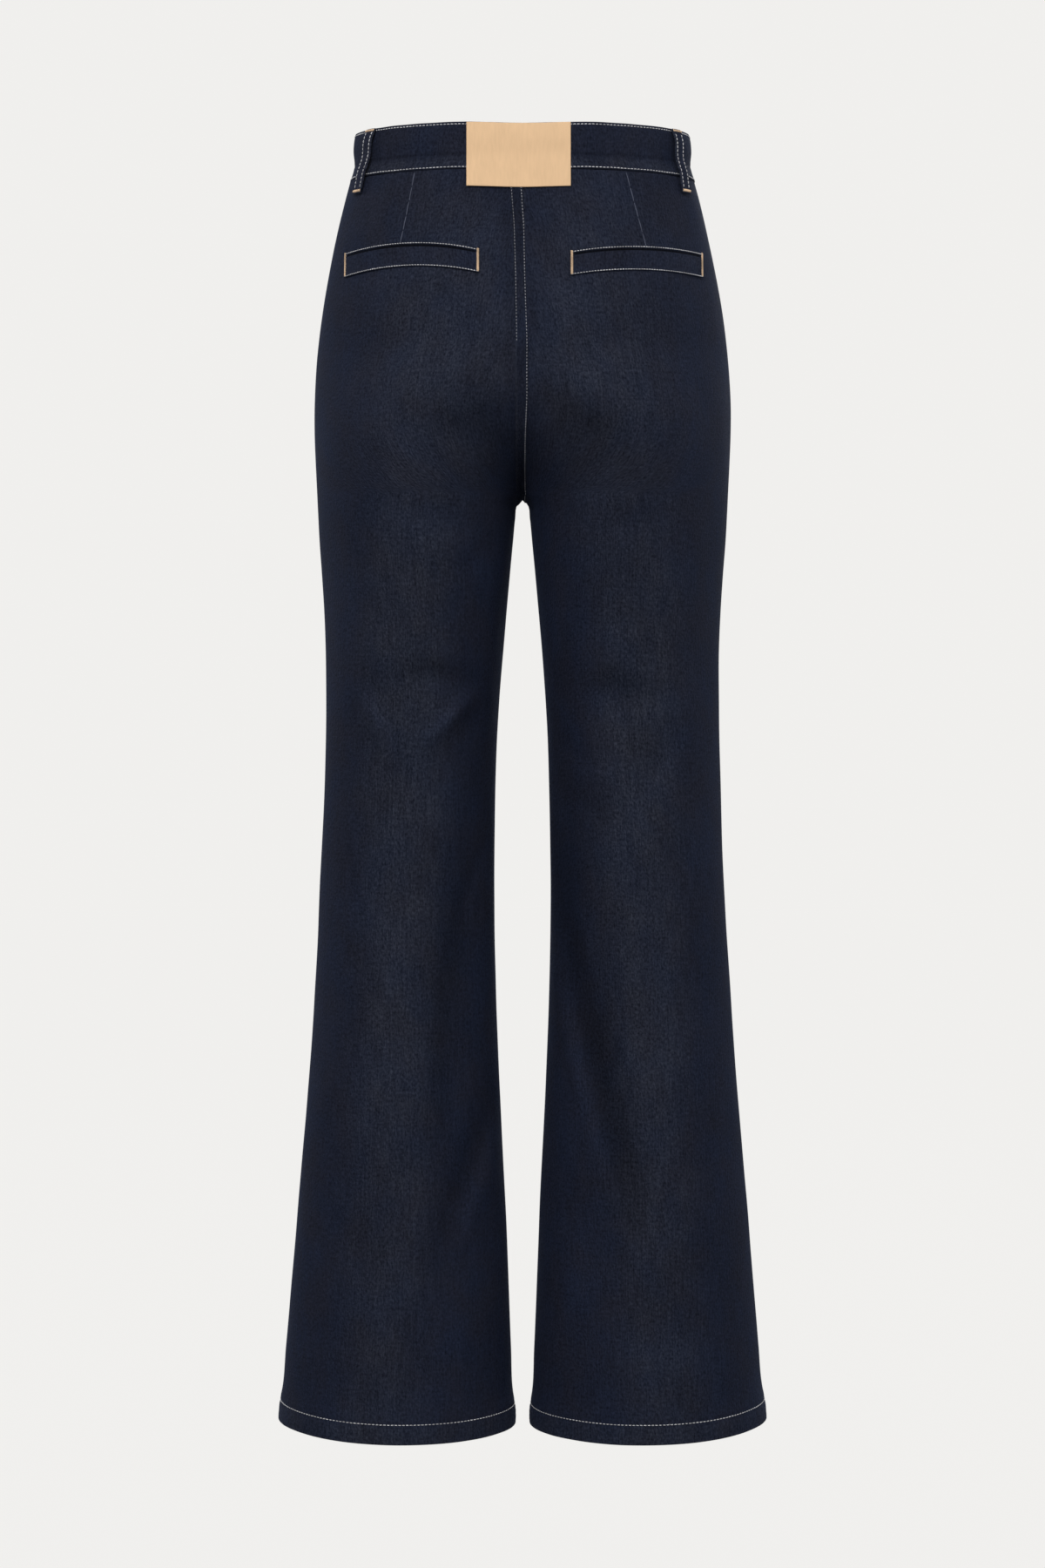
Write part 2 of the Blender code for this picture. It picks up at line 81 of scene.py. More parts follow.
# The kinds of cloth: how thick each is, and how far its cut edges are rounded.
Cloth = namedtuple("Cloth", "thick rounding")
DENIM = Cloth(0.0014, 0.0004)
BAND = Cloth(0.0028, 0.0007)
LOOP = Cloth(0.0018, 0.0005)
WELT = Cloth(0.0012, 0.0004)
FLY = Cloth(0.0012, 0.0004)
FELL = Cloth(0.0008, 0.0002)
LABEL = Cloth(0.0010, 0.0003)

# How far apart the points of each piece's sheet are, and the fewest points along a side.
PANEL_PITCH = 0.0032
HEM_PITCH = 0.0013
TRIM_PITCH = 0.0015
BAND_PITCH = 0.0009
WELT_PITCH = 0.0005
LOOP_PITCH = 0.0005
FEWEST_POINTS = 4

# The turn at a wall's rim, and the distance within which two points are one.
RIM_ANGLE = math.radians(60)
SAME_POINT = 1e-5

# How far apart the pieces lie on the cut pattern, so that no two show the same stretch of weave.
LAYOUT_STEP = 0.37

# How far to each side of a seam's gap the cloth is looked for, and from how high above it.
SEAM_REACH = 0.0012
CAST_HEIGHT = 0.04

# The garment's main heights, as drops below the waist edge, and how near to the crotch's a point is at it.
CROTCH_DROP = 0.298
CROTCH_ROOM = 0.002
BAND_SEAM_DROP = 0.040

# A mark in a panel's cloth: half its width, its strength at the middle, and its route through places (x out
# from the middle, drop). Marks fade out over their ends, and where the cloth turns to the side.
Mark = namedtuple("Mark", "half_width strength route")
MARK_STEPS = 40
MARK_END = 0.06
MARK_FACING = (0.10, 0.45)
LEFT_SHIN_FOLD = ((0.021, 0.780), (0.044, 0.840), (0.063, 0.887), (0.072, 0.930))
RIGHT_LEG_FOLD = ((0.029, 0.580), (0.039, 0.671), (0.055, 0.735), (0.074, 0.812), (0.091, 0.885))

# Creases pressed into the cloth. Their strength is a depth, and a negative one is a ridge.
CREASES = {
    "back_left": (
        Mark(0.010, 0.0024, ((0.118, 0.452), (0.072, 0.440), (0.040, 0.447))),
        Mark(0.007, -0.0019, ((0.040, 0.456), (0.056, 0.473), (0.078, 0.494))),
        Mark(0.009, 0.0022, ((0.034, 0.470), (0.050, 0.488), (0.072, 0.512))),
        Mark(0.007, -0.0013, ((0.124, 0.461), (0.118, 0.476), (0.108, 0.491))),
        Mark(0.009, 0.0015, ((0.132, 0.474), (0.125, 0.492), (0.113, 0.510))),
        Mark(0.012, 0.0020, ((0.024, 0.575), (0.050, 0.640), (0.066, 0.740))),
        Mark(0.013, 0.0026, LEFT_SHIN_FOLD),
        Mark(0.014, 0.0022, ((0.074, 0.900), (0.081, 0.960), (0.090, 1.030))),
        Mark(0.011, -0.0016, ((0.022, 0.820), (0.036, 0.870), (0.050, 0.915))),
        Mark(0.020, -0.0018, ((0.040, 0.150), (0.060, 0.180), (0.075, 0.200))),
        Mark(0.012, 0.0014, ((0.120, 0.290), (0.085, 0.312), (0.045, 0.322))),
        Mark(0.013, 0.0026, ((0.006, 0.226), (0.030, 0.240), (0.074, 0.243))),
        Mark(0.010, 0.0014, ((0.020, 0.330), (0.040, 0.352), (0.070, 0.362))),
    ),
    "back_right": (
        Mark(0.013, 0.0026, ((0.008, 0.222), (0.040, 0.240), (0.092, 0.262))),
        Mark(0.013, 0.0022, ((0.062, 0.458), (0.092, 0.464), (0.124, 0.456))),
        Mark(0.010, 0.0018, ((0.133, 0.474), (0.124, 0.500), (0.108, 0.532))),
        Mark(0.011, 0.0020, ((0.034, 0.508), (0.056, 0.532), (0.086, 0.556))),
        Mark(0.012, 0.0036, RIGHT_LEG_FOLD),
        Mark(0.010, -0.0020, ((0.022, 0.640), (0.034, 0.705), (0.050, 0.775), (0.069, 0.850))),
        Mark(0.020, -0.0018, ((0.030, 0.150), (0.060, 0.172), (0.095, 0.180))),
        Mark(0.012, 0.0018, ((0.012, 0.300), (0.020, 0.350), (0.034, 0.400))),
        Mark(0.011, 0.0013, ((0.128, 0.300), (0.100, 0.318), (0.066, 0.326))),
    ),
    "front_left": (
        Mark(0.011, 0.0020, ((0.022, 0.262), (0.060, 0.240), (0.104, 0.232))),
        Mark(0.011, 0.0018, ((0.030, 0.292), (0.066, 0.276), (0.112, 0.268))),
        Mark(0.012, 0.0018, ((0.050, 0.480), (0.084, 0.492), (0.124, 0.486))),
        Mark(0.014, 0.0020, ((0.034, 0.700), (0.050, 0.800), (0.070, 0.900))),
        Mark(0.014, -0.0016, ((0.050, 0.930), (0.068, 0.970), (0.092, 1.010))),
    ),
    "front_right": (
        Mark(0.011, 0.0019, ((0.020, 0.268), (0.056, 0.246), (0.100, 0.240))),
        Mark(0.012, 0.0019, ((0.028, 0.300), (0.070, 0.282), (0.116, 0.278))),
        Mark(0.012, 0.0018, ((0.046, 0.500), (0.080, 0.488), (0.122, 0.494))),
        Mark(0.014, 0.0021, ((0.032, 0.680), (0.054, 0.790), (0.082, 0.890))),
        Mark(0.014, -0.0016, ((0.046, 0.900), (0.070, 0.960), (0.100, 1.010))),
    ),
}

# Painted shade in the hollows under the seat, in folds and beside the seat seam (a positive shade),
# and painted highlight on the arms of folds and on the inner thighs (a negative one).
PAINTED_SHADING = {
    "back_left": (
        Mark(0.0045, 0.18, ((0.013, 0.062), (0.0105, 0.130), (0.0100, 0.210))),
        Mark(0.025, 0.38, ((0.006, 0.244), (0.036, 0.248), (0.066, 0.243))),
        Mark(0.022, -0.30, ((0.010, 0.300), (0.018, 0.350), (0.024, 0.420))),
        Mark(0.010, 0.34, ((0.094, 0.444), (0.070, 0.439), (0.046, 0.446))),
        Mark(0.005, -0.36, ((0.042, 0.456), (0.056, 0.473), (0.077, 0.493))),
        Mark(0.010, 0.22, ((0.036, 0.472), (0.048, 0.490), (0.064, 0.512))),
        Mark(0.005, -0.32, ((0.124, 0.461), (0.118, 0.476), (0.109, 0.490))),
        Mark(0.009, 0.20, ((0.130, 0.480), (0.124, 0.498), (0.114, 0.514))),
        Mark(0.010, 0.26, ((0.024, 0.575), (0.050, 0.640), (0.066, 0.740), (0.070, 0.800))),
        Mark(0.005, -0.24, ((0.026, 0.585), (0.036, 0.606), (0.047, 0.650))),
        Mark(0.010, 0.28, LEFT_SHIN_FOLD),
        Mark(0.006, -0.20, ((0.022, 0.815), (0.036, 0.865), (0.050, 0.908))),
    ),
    "back_right": (
        Mark(0.0035, 0.12, ((0.0050, 0.062), (0.0068, 0.130), (0.0080, 0.210))),
        Mark(0.027, 0.38, ((0.016, 0.242), (0.048, 0.252), (0.080, 0.268))),
        Mark(0.022, -0.22, ((0.010, 0.300), (0.018, 0.350), (0.024, 0.420))),
        Mark(0.011, 0.24, ((0.056, 0.448), (0.074, 0.444), (0.096, 0.448))),
        Mark(0.005, -0.22, ((0.132, 0.486), (0.122, 0.510), (0.104, 0.536))),
        Mark(0.006, -0.24, ((0.036, 0.506), (0.050, 0.518), (0.068, 0.522))),
        Mark(0.010, 0.20, ((0.034, 0.528), (0.056, 0.544), (0.084, 0.560))),
        Mark(0.015, 0.44, RIGHT_LEG_FOLD),
        Mark(0.006, -0.28, ((0.024, 0.650), (0.035, 0.710), (0.050, 0.780), (0.069, 0.850))),
    ),
}

# The soft waves all over the panels, which are longer down the leg, and the flat cloth beside a seam.
BROAD_WAVE = 0.060
SMALL_WAVE = 0.022
SMALL_WAVE_SHARE = 0.3
WAVE_SQUEEZE = 0.45
CREASE_SEAM_ROOM = (-0.003, 0.014)

# Where the dye has rubbed off most, at each drop: the place from the middle, half the width, the share.
Fade = namedtuple("Fade", "drop middle half_width share")
FADES = (
    Fade(0.040, 0.062, 0.056, 0.35),
    Fade(0.100, 0.060, 0.060, 0.60),
    Fade(0.200, 0.060, 0.062, 0.85),
    Fade(0.260, 0.074, 0.052, 0.60),
    Fade(0.320, 0.088, 0.042, 0.62),
    Fade(0.400, 0.094, 0.036, 0.85),
    Fade(0.480, 0.096, 0.035, 0.90),
    Fade(0.600, 0.094, 0.037, 0.75),
    Fade(0.750, 0.102, 0.037, 0.72),
    Fade(0.900, 0.109, 0.036, 0.65),
    Fade(1.000, 0.115, 0.034, 0.55),
    Fade(1.080, 0.118, 0.034, 0.46),
)
PLAIN_FADE = 0.25

# A row's stitches: how far apart they are, how wide, and how much of their pitch they cover. A bar's
# stitches stand closer, lean to and fro and lie higher, and its direction is read over a tiny step ahead.
STITCH_PITCH = 0.0031
STITCH_WIDTH = 0.00075
STITCH_SHARE = 0.82
BARTACK_PITCH = 0.00058
BARTACK_LEAN = 0.35
BARTACK_LIFT = 0.30
AHEAD = 1e-4

# The waistband: its rows of sewing, the fold pressed along its lower third, how deep and wide they are
# stamped, the painted shade along the fold, how far the dye has gone above and below the fold, the
# crevice at its foot darkened with painted shade, and its waves.
BAND_EDGE_ROW = 0.0020
BAND_SEAM_ROW = 0.0016
BAND_FOLD_RISE = 0.0125
BAND_ROW_DEPTH = 0.00035
BAND_FOLD_DEPTH = 0.00030
BAND_STAMP = 0.0014
BAND_FOLD_SHADE = 0.26
BAND_FADE = 0.15
BAND_FOOT_FADE = 0.55
BAND_FOOT_RISE = 0.006
BAND_CREVICE = (0.0004, 0.0011)
BAND_CREVICE_SHADE = 0.6
BAND_WAVE = 0.016
BAND_UNEVENNESS = 0.0005

# The hems: the row of sewing and its stamped line, the stretch with closer points, the paler cloth below
# the row, and the slanting ropes, which swell and shrink round the leg.
HEM_ROW_RISE = 0.0166
HEM_ROW_DEPTH = 0.0005
HEM_ROW_WIDTH = 0.0020
HEM_ZONE = 0.026
HEM_FADE = 0.40
HEM_FADE_START = 0.75
ROPING_PITCH = 0.0105
ROPING_LEAN = 0.9
ROPING_TOP = 0.004
ROPING_FOOT = 0.003
ROPING_SWELL = 0.4
ROPING_SWELL_LENGTH = 0.031
ROPING_SWELL_START = 1.3

# The back pockets' welts: the rows and the bars at their ends, and the slit under the upper row, pressed in
# and darkened with painted shade.
WELT_ROW = 0.0007
WELT_STITCH_PITCH = 0.0024
WELT_BAR = 0.0008
WELT_BAR_REACH = 0.0022
WELT_SLIT = 0.0027
WELT_SLIT_WIDTH = 0.0010
WELT_SLIT_DEPTH = 0.0010
WELT_SLIT_ENDS = (0.001, 0.004)
WELT_SLIT_SHADE = 0.85

# The belt loops: the rows, which also run down the band's lapped end, the ridges beside them coloured
# paler, and the bars across the head and the foot.
EDGE_ROW = 0.0016
LOOP_ROW_DEPTH = 0.0002
LOOP_ROW_END = 0.003
LOOP_RIDGE = 0.0011
LOOP_RIDGE_WIDTH = 0.0007
LOOP_FADE = 0.15
LOOP_PALE = 0.10
LOOP_HEAD_BAR = 0.0018
LOOP_FOOT_BAR = 0.0022

# The front pockets' and the fly's rows, as distances from the edge, where the pockets' rows end, and how
# far the bar there reaches.
POCKET_ROWS = (0.0020, 0.0080)
POCKET_DROP = 0.193
POCKET_BAR_REACH = 0.0018
FLY_ROWS = (0.0018, 0.0078)

# The felled seams' rows of sewing, as places (x, drop), where each row ends or starts, and the stitches'
# pitch, their widths and how much of the pitch they cover.
SEAT_LEFT_ROW = ((-0.0098, 0.040), (-0.0087, 0.053), (-0.0063, 0.085), (-0.0051, 0.130), (-0.0044, 0.176),
                 (-0.0046, 0.230), (-0.0040, 0.280), (-0.0035, 0.300))
SEAT_RIGHT_ROW = ((-0.0030, 0.040), (-0.0015, 0.053), (0.0006, 0.085), (0.0016, 0.130), (0.0032, 0.176),
                  (0.0034, 0.219), (0.0022, 0.254), (0.0020, 0.280), (0.0020, 0.300))
SEAT_LEFT_ROW_END = 0.186
FRONT_RISE_ROWS = (((-0.0060, 0.04), (-0.0060, 0.288)), ((0.0004, 0.04), (0.0004, 0.288)))
RISE_ROWS_START = 0.155
SEAT_STITCH_PITCH = 0.0027
SEAT_RIGHT_STITCH = 0.00072
SEAT_LEFT_STITCH = 0.00050
SEAT_STITCH_SHARE = 0.66

# The felled seams' strips: their margin beyond the rows, how high they stand at their edges and their
# middle, how square that hump is, where their points lie across, the puckers, and how much darker they are
# coloured, more so near their top.
FELL_MARGIN = 0.0013
FELL_LIFT = 0.0002
FELL_RAISE = 0.0009
FELL_SQUARENESS = 6
FELL_SHARES = (0.0, 0.05, 0.13, 0.3, 0.5, 0.7, 0.87, 0.95, 1.0)
FELL_POINTS_DOWN = 260
FELL_PUCKER = 0.00018
FELL_SHADE = 0.16
FELL_TOP_SHADE = 0.12
FELL_DARK_DROPS = (0.055, 0.100)

# The darts' folds, as places (x, drop), sewn as long lengths that meet.
DARTS = (
    ((-0.0865, 0.039), (-0.0915, 0.066), (-0.0982, 0.0985)),
    ((0.0830, 0.039), (0.0905, 0.068), (0.0993, 0.1010)),
)
DART_PITCH = 0.012
DART_SHARE = 1.04

# The button, turned in steps from its rim to its middle: how far in each goes, and how far it sinks.
BUTTON_RADIUS = 0.0085
BUTTON_EDGE = 0.0003
BUTTON_EDGE_ANGLE = math.radians(25)
Step = namedtuple("Step", "inset sink")
BUTTON_STEPS = (
    Step(0.0009, 0.0),
    Step(0.0006, -0.0007),
    Step(0.0010, 0.0),
    Step(0.0012, 0.0003),
    Step(0.0016, 0.0002),
    Step(0.0016, 0.0001),
)

# The buttonhole's ends, half its opening and its stitches' length.
BUTTONHOLE_REACH = (-0.0110, 0.0120)
BUTTONHOLE_HALF = 0.0013
BUTTONHOLE_STITCH = 0.0020

# The denim's noises on the cut pattern: their grains' length across and down, and their shares of the
# weave's tone and of its height.
Grain = namedtuple("Grain", "across down tone height")
TWIST = Grain(0.0010, 0.0034, 0.38, 0.50)
SLUB = Grain(0.0017, 0.028, 0.22, 0.30)
CROSS = Grain(0.0080, 0.0016, 0.12, 0.12)
FLECK = Grain(0.0019, 0.0022, 0.28, 0.20)
RIB_HEIGHT = 0.30

# The broad noises' grains, how far the worn middle is pale all over, in blots and in clouds, and how much
# paler the reverse's weft is than its warp.
CLOUD = (0.055, 0.090)
BLOT = (0.014, 0.030)
DYE_DRIFT = (0.034, 0.046)
WORN_EVENLY = 0.45
WORN_IN_BLOTS = 0.35
WORN_IN_CLOUDS = 0.30
REVERSE_WEFT = 1.6

# The photograph's height, the camera's focal length in its pixels, its sensor, and where the camera stood.
PHOTO_HEIGHT = 1800
FOCAL_PIXELS = 4146
SENSOR = 36.0
CAMERA_PLACE = (0, -3.0, -0.3935)
CAMERA_PITCH = math.radians(2.695)

# The floor, the backdrop, and the soft lights: where each stands, how wide it is, and its share of a power.
FLOOR_RADIUS = 9.0
BACKDROP_RADIUS = 12.0
LIGHT_AIM = Vector((0, 0, -0.45))
Light = namedtuple("Light", "name place width power share")
LIGHTS = (
    Light("main_light", (-0.5, -3.3, 1.9), 1.8, "key_power", 1.0),
    Light("fill_left", (-2.7, -1.9, 0.0), 1.8, "fill_power", 0.35),
    Light("fill_right", (2.7, -1.9, 0.0), 1.8, "fill_power", 1.0),
    Light("side_left", (-2.9, 1.7, 0.4), 1.8, "side_power", 1.0),
    Light("side_right", (2.9, 1.7, 0.4), 1.8, "side_power", 1.0),
    Light("light_behind", (0.6, 3.3, 1.6), 2.0, "key_power", 0.9),
)


# ---------------------------------------------------------------- points of the cloth


def running(steps):
    """The running total of some steps, from 0."""
    return np.concatenate([[0], np.cumsum(steps)])


def spline_weights(knots, places):
    """For each place, how much each knot's point counts on the smooth curve through all of them."""
    count = len(knots)
    gaps = np.diff(knots)
    slopes = np.zeros((count - 1, count))
    slopes[np.arange(count - 1), np.arange(count - 1)] = -1 / gaps
    slopes[np.arange(count - 1), np.arange(1, count)] = 1 / gaps
    tangents = np.zeros((count, count))
    for i in range(1, count - 1):
        both = gaps[i - 1] + gaps[i]
        tangents[i] = (gaps[i] * slopes[i - 1] + gaps[i - 1] * slopes[i]) / both
    tangents[0] = slopes[0]
    tangents[-1] = slopes[-1]
    if count > 2:
        tangents[0] += (slopes[0] - slopes[1]) * gaps[0] / (gaps[0] + gaps[1])
        tangents[-1] += (slopes[-1] - slopes[-2]) * gaps[-1] / (gaps[-1] + gaps[-2])
    cell = np.clip(np.searchsorted(knots, places, side="right") - 1, 0, count - 2)
    gap = gaps[cell][:, None]
    s = ((places - knots[cell]) / gaps[cell])[:, None]
    unit = np.eye(count)
    weights = (1 + 2 * s) * (1 - s) ** 2 * unit[cell]
    weights += s * s * (3 - 2 * s) * unit[cell + 1]
    weights += gap * s * (1 - s) ** 2 * tangents[cell]
    weights += gap * s * s * (s - 1) * tangents[cell + 1]
    return weights


def smooth_line(points, count):
    """Evenly spaced points on the smooth curve through a few points."""
    points = np.asarray(points, float)
    knots = running(np.linalg.norm(np.diff(points, axis=0), axis=1))
    return spline_weights(knots, np.linspace(0, knots[-1], count)) @ points


def smooth_stretches(mesh):
    """The faces of a wall in groups, parted where it turns a sharp corner, and each face's group."""
    groups, group_of = [], {}
    for seed in mesh.faces:
        if seed in group_of:
            continue
        group, waiting = [], [seed]
        group_of[seed] = len(groups)
        while waiting:
            face = waiting.pop()
            group.append(face)
            for edge in face.edges:
                if edge.calc_face_angle(0) > RIM_ANGLE:
                    continue
                for other in edge.link_faces:
                    if other not in group_of:
                        group_of[other] = len(groups)
                        waiting.append(other)
        groups.append(group)
    return groups, group_of


def walk(start, step, links, corners):
    """The vertices of a sheet's boundary from one corner to the next, leaving it by a given step."""
    path, here = [start], step
    while True:
        path.append(here)
        if here in corners:
            return path
        here = next(v for v in links[here] if v != path[-2])


def next_row(row, first, sheet):
    """The row of vertices below a row, found by walking along the strip of faces between them."""
    found = [first]
    upper, lower, at, last = row[0], first, 0, None
    while at < len(row) - 1 or len(found) < len(row):
        edge = next(e for e in upper.link_edges if e.other_vert(upper) == lower)
        face = next(f for f in edge.link_faces if f in sheet and f != last)
        third = next(v for v in face.verts if v not in (upper, lower))
        if at + 1 < len(row) and third == row[at + 1]:
            upper, at = third, at + 1
        else:
            lower = third
            found.append(third)
        last = face
    return found


def sheet_points(node):
    """A solid wall's outer side as rows of points, from its top down and from the middle outwards."""
    mesh = bmesh.new()
    mesh.from_mesh(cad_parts[node].data)
    bmesh.ops.remove_doubles(mesh, verts=mesh.verts, dist=SAME_POINT)
    mesh.normal_update()
    groups, group_of = smooth_stretches(mesh)
    middle = sum((v.co for v in mesh.verts), Vector()) / len(mesh.verts)

    def outwardness(group):
        return sum(f.calc_area() * (f.calc_center_median() - middle).xy.dot(f.normal.xy) for f in group)

    sheet = set(max(groups, key=outwardness))
    links = {}
    for edge in mesh.edges:
        if sum(f in sheet for f in edge.link_faces) == 1:
            for here, there in (edge.verts, reversed(edge.verts)):
                links.setdefault(here, []).append(there)
    corners = set()
    for vertex in links:
        at_crotch = abs(vertex.co.z + CROTCH_DROP) < CROTCH_ROOM
        if not at_crotch and len({group_of[f] for f in vertex.link_faces}) > 2:
            corners.add(vertex)
    top = sorted(corners, key=lambda v: -v.co.z)[:2]
    start = min(top, key=lambda v: (round(abs(v.co.x), 3), v.co.y))
    ways = [walk(start, step, links, corners) for step in links[start]]
    across, down = sorted(ways, key=lambda path: abs(path[-1].co.z - start.co.z))
    rows = [across]
    for first in down[1:]:
        rows.append(next_row(rows[-1], first, sheet))
    points = np.array([[tuple(v.co) for v in row] for row in rows])
    mesh.free()
    return points


def even(length, pitch):
    """Places from 0 to a length, evenly spaced by about a pitch."""
    return np.linspace(0, length, max(FEWEST_POINTS, math.ceil(length / pitch) + 1))


def refined(points, pitch, pitch_down=None, hem=False):
    """A fine sheet drawn smoothly through rows of points, with closer rows in its hem."""
    steps_down = np.linalg.norm(np.diff(points, axis=0), axis=2).mean(axis=1)
    steps_across = np.linalg.norm(np.diff(points, axis=1), axis=2).mean(axis=0)
    down, across = running(steps_down), running(steps_across)
    rows = even(down[-1], pitch_down or pitch)
    if hem:
        hem_top = down[-1] - HEM_ZONE
        rows = np.concatenate([even(hem_top, pitch), hem_top + even(HEM_ZONE, HEM_PITCH)[1:]])
    by_columns = spline_weights(across, even(across[-1], pitch))
    return np.einsum("ri,ijk,cj->rck", spline_weights(down, rows), points, by_columns)


def ease(value, low, high):
    """0 below low, 1 above high and an S curve between."""
    share = np.clip((value - low) / (high - low), 0, 1)
    return share * share * (3 - 2 * share)


def hump(away, half_width, power=2):
    """1 in the middle of a soft hump, and less the further away."""
    return np.exp(-((away / half_width) ** power))


def lengths(points, axis):
    """How far each point lies along its column (axis 0) or its row (axis 1)."""
    steps = np.cumsum(np.linalg.norm(np.diff(points, axis=axis), axis=2), axis=axis)
    start = np.zeros_like(steps[:1] if axis == 0 else steps[:, :1])
    return np.concatenate([start, steps], axis=axis)


class Sheet:
    """A sheet of cloth as rows of points, from its top down and from the middle outwards."""

    def __init__(self, points):
        self.points = points
        self.measure()

    def measure(self):
        """Works out the sheet's outward directions and its lengths down and across."""
        normals = np.cross(np.gradient(self.points, axis=0), np.gradient(self.points, axis=1))
        normals /= np.maximum(np.linalg.norm(normals, axis=2, keepdims=True), 1e-12)
        away = self.points - self.points.mean(axis=(0, 1))
        facing = (away[..., :2] * normals[..., :2]).sum()
        self.normals = normals if facing > 0 else -normals
        self.down = lengths(self.points, 0)
        self.across = lengths(self.points, 1)

    def press(self, depth):
        """Moves the points inwards by a depth for each."""
        self.points = self.points - self.normals * depth[..., None]
        self.measure()

    def pattern(self):
        """The sheet laid flat: across from its middle column, and up from its bottom row."""
        across = self.across - self.across[:, -1:] / 2
        down = np.broadcast_to(self.down.mean(axis=1, keepdims=True), across.shape)
        return np.stack([across, down[-1, 0] - down], axis=-1)

    def seam_distance(self):
        """How far each point is from the nearer side edge."""
        return np.minimum(self.across, self.across[:, -1:] - self.across)

    def rise(self):
        """How far each point is above the foot of its column."""
        return self.down[-1:] - self.down

    def area(self):
        """The sheet's area as it hangs."""
        first = self.points[1:, 1:] - self.points[:-1, :-1]
        second = self.points[1:, :-1] - self.points[:-1, 1:]
        return 0.5 * np.linalg.norm(np.cross(first, second), axis=2).sum()

    def at(self, row, column):
        """The place and outward direction at a fractional row and column."""
        i = min(int(row), len(self.points) - 2)
        j = min(int(column), self.points.shape[1] - 2)
        s, t = row - i, column - j
        shares = (
            (i, j, (1 - s) * (1 - t)), (i + 1, j, s * (1 - t)),
            (i, j + 1, (1 - s) * t), (i + 1, j + 1, s * t),
        )
        place = sum(self.points[a, b] * share for a, b, share in shares)
        normal = sum(self.normals[a, b] * share for a, b, share in shares)
        return Vector(place), Vector(normal).normalized()

    def row_line(self, distance, from_bottom=False):
        """A line across the sheet at a distance from its top or its bottom edge."""
        line = []
        for j in range(self.points.shape[1]):
            down = self.down[:, j]
            drop = down[-1] - distance if from_bottom else distance
            line.append(self.at(np.interp(drop, down, np.arange(len(down))), j))
        return line

    def column_line(self, distance, from_outer=False, top=0.0, bottom=0.0):
        """A line down the sheet at a distance from its first or last column, short of its ends."""
        line = []
        for i in range(len(self.points)):
            down = self.down[i].mean()
            if down < top or down > self.down[-1].mean() - bottom:
                continue
            across = self.across[i]
            reach = across[-1] - distance if from_outer else distance
            line.append(self.at(i, np.interp(reach, across, np.arange(len(across)))))
        return line


def along_routes(sheet, marks):
    """The sum of some marks' strengths at each point, each fading out from its route and at its ends."""
    places = np.stack([np.abs(sheet.points[..., 0]), -sheet.points[..., 2]], axis=-1).reshape(-1, 2)
    total = np.zeros(len(places))
    for half_width, strength, route in marks:
        line = smooth_line(route, MARK_STEPS)
        apart = np.linalg.norm(places[:, None] - line[None], axis=2)
        along = apart.argmin(axis=1) / (MARK_STEPS - 1)
        taper = np.sqrt(np.clip(np.sin(math.pi * (MARK_END + (1 - 2 * MARK_END) * along)), 0, 1))
        total += strength * taper * hump(apart.min(axis=1), half_width)
    return total.reshape(sheet.points.shape[:2]) * ease(np.abs(sheet.normals[..., 1]), *MARK_FACING)


def relief(sheet, wave, height):
    """A soft unevenness of the cloth, as a depth for each point."""
    places = sheet.points.reshape(-1, 3) / wave
    values = [noise.noise(Vector((x, y, WAVE_SQUEEZE * z))) for x, y, z in places]
    return height * np.array(values).reshape(sheet.points.shape[:2])


def panel_depth(node, sheet, look):
    """A panel's creases and soft waves, as a depth for each point, with the seams left flat."""
    depth = along_routes(sheet, CREASES.get(node, ())) * look.crease_strength
    depth += relief(sheet, BROAD_WAVE, look.unevenness)
    depth += relief(sheet, SMALL_WAVE, look.unevenness * SMALL_WAVE_SHARE)
    return depth * ease(sheet.seam_distance(), *CREASE_SEAM_ROOM)


def hem_depth(sheet, roping):
    """The hem's stitched-in line, and the slanting ropes below it."""
    rise = sheet.rise()
    phase = 2 * math.pi * (sheet.across + ROPING_LEAN * rise) / ROPING_PITCH
    swell = np.sin(sheet.across / ROPING_SWELL_LENGTH + ROPING_SWELL_START)
    below_row = ease(HEM_ROW_RISE - rise, -ROPING_TOP, ROPING_TOP)
    above_foot = 1 - ease(ROPING_FOOT - rise, 0, ROPING_FOOT)
    ropes = roping * (1 - ROPING_SWELL + ROPING_SWELL * swell) * np.sin(phase) * below_row * above_foot
    return HEM_ROW_DEPTH * hump(rise - HEM_ROW_RISE, HEM_ROW_WIDTH) + ropes


def fade_share(sheet):
    """How far the dye has rubbed off at each point of a panel."""
    drop = -sheet.points[..., 2]
    drops, middles, widths, shares = zip(*FADES)
    away = (np.abs(sheet.points[..., 0]) - np.interp(drop, drops, middles)) / np.interp(drop, drops, widths)
    return np.interp(drop, drops, shares) * np.exp(-np.abs(away) ** 3)


# ---------------------------------------------------------------- pieces from sheets


def pick(*things):
    """Selects these objects alone, and makes the first the active one."""
    bpy.ops.object.select_all(action="DESELECT")
    for thing in things:
        thing.select_set(True)
    bpy.context.view_layer.objects.active = things[0]


def apply_modifier(piece, kind, **settings):
    """Adds a modifier of this kind to a piece and applies it."""
    pick(piece)
    modifier = piece.modifiers.new(kind.title(), kind)
    for name, value in settings.items():
        setattr(modifier, name, value)
    bpy.ops.object.modifier_apply(modifier=modifier.name)


def round_edges(piece, width, angle):
    """Rounds the edges of a piece that turn by more than an angle."""
    apply_modifier(piece, "BEVEL", width=width, segments=2, limit_method="ANGLE", angle_limit=angle)


def point_values(mesh, name, values):
    """Stores a number for each point of a mesh."""
    attribute = mesh.attributes.new(name, "FLOAT", "POINT")
    attribute.data.foreach_set("value", np.ascontiguousarray(values, np.float32).ravel())


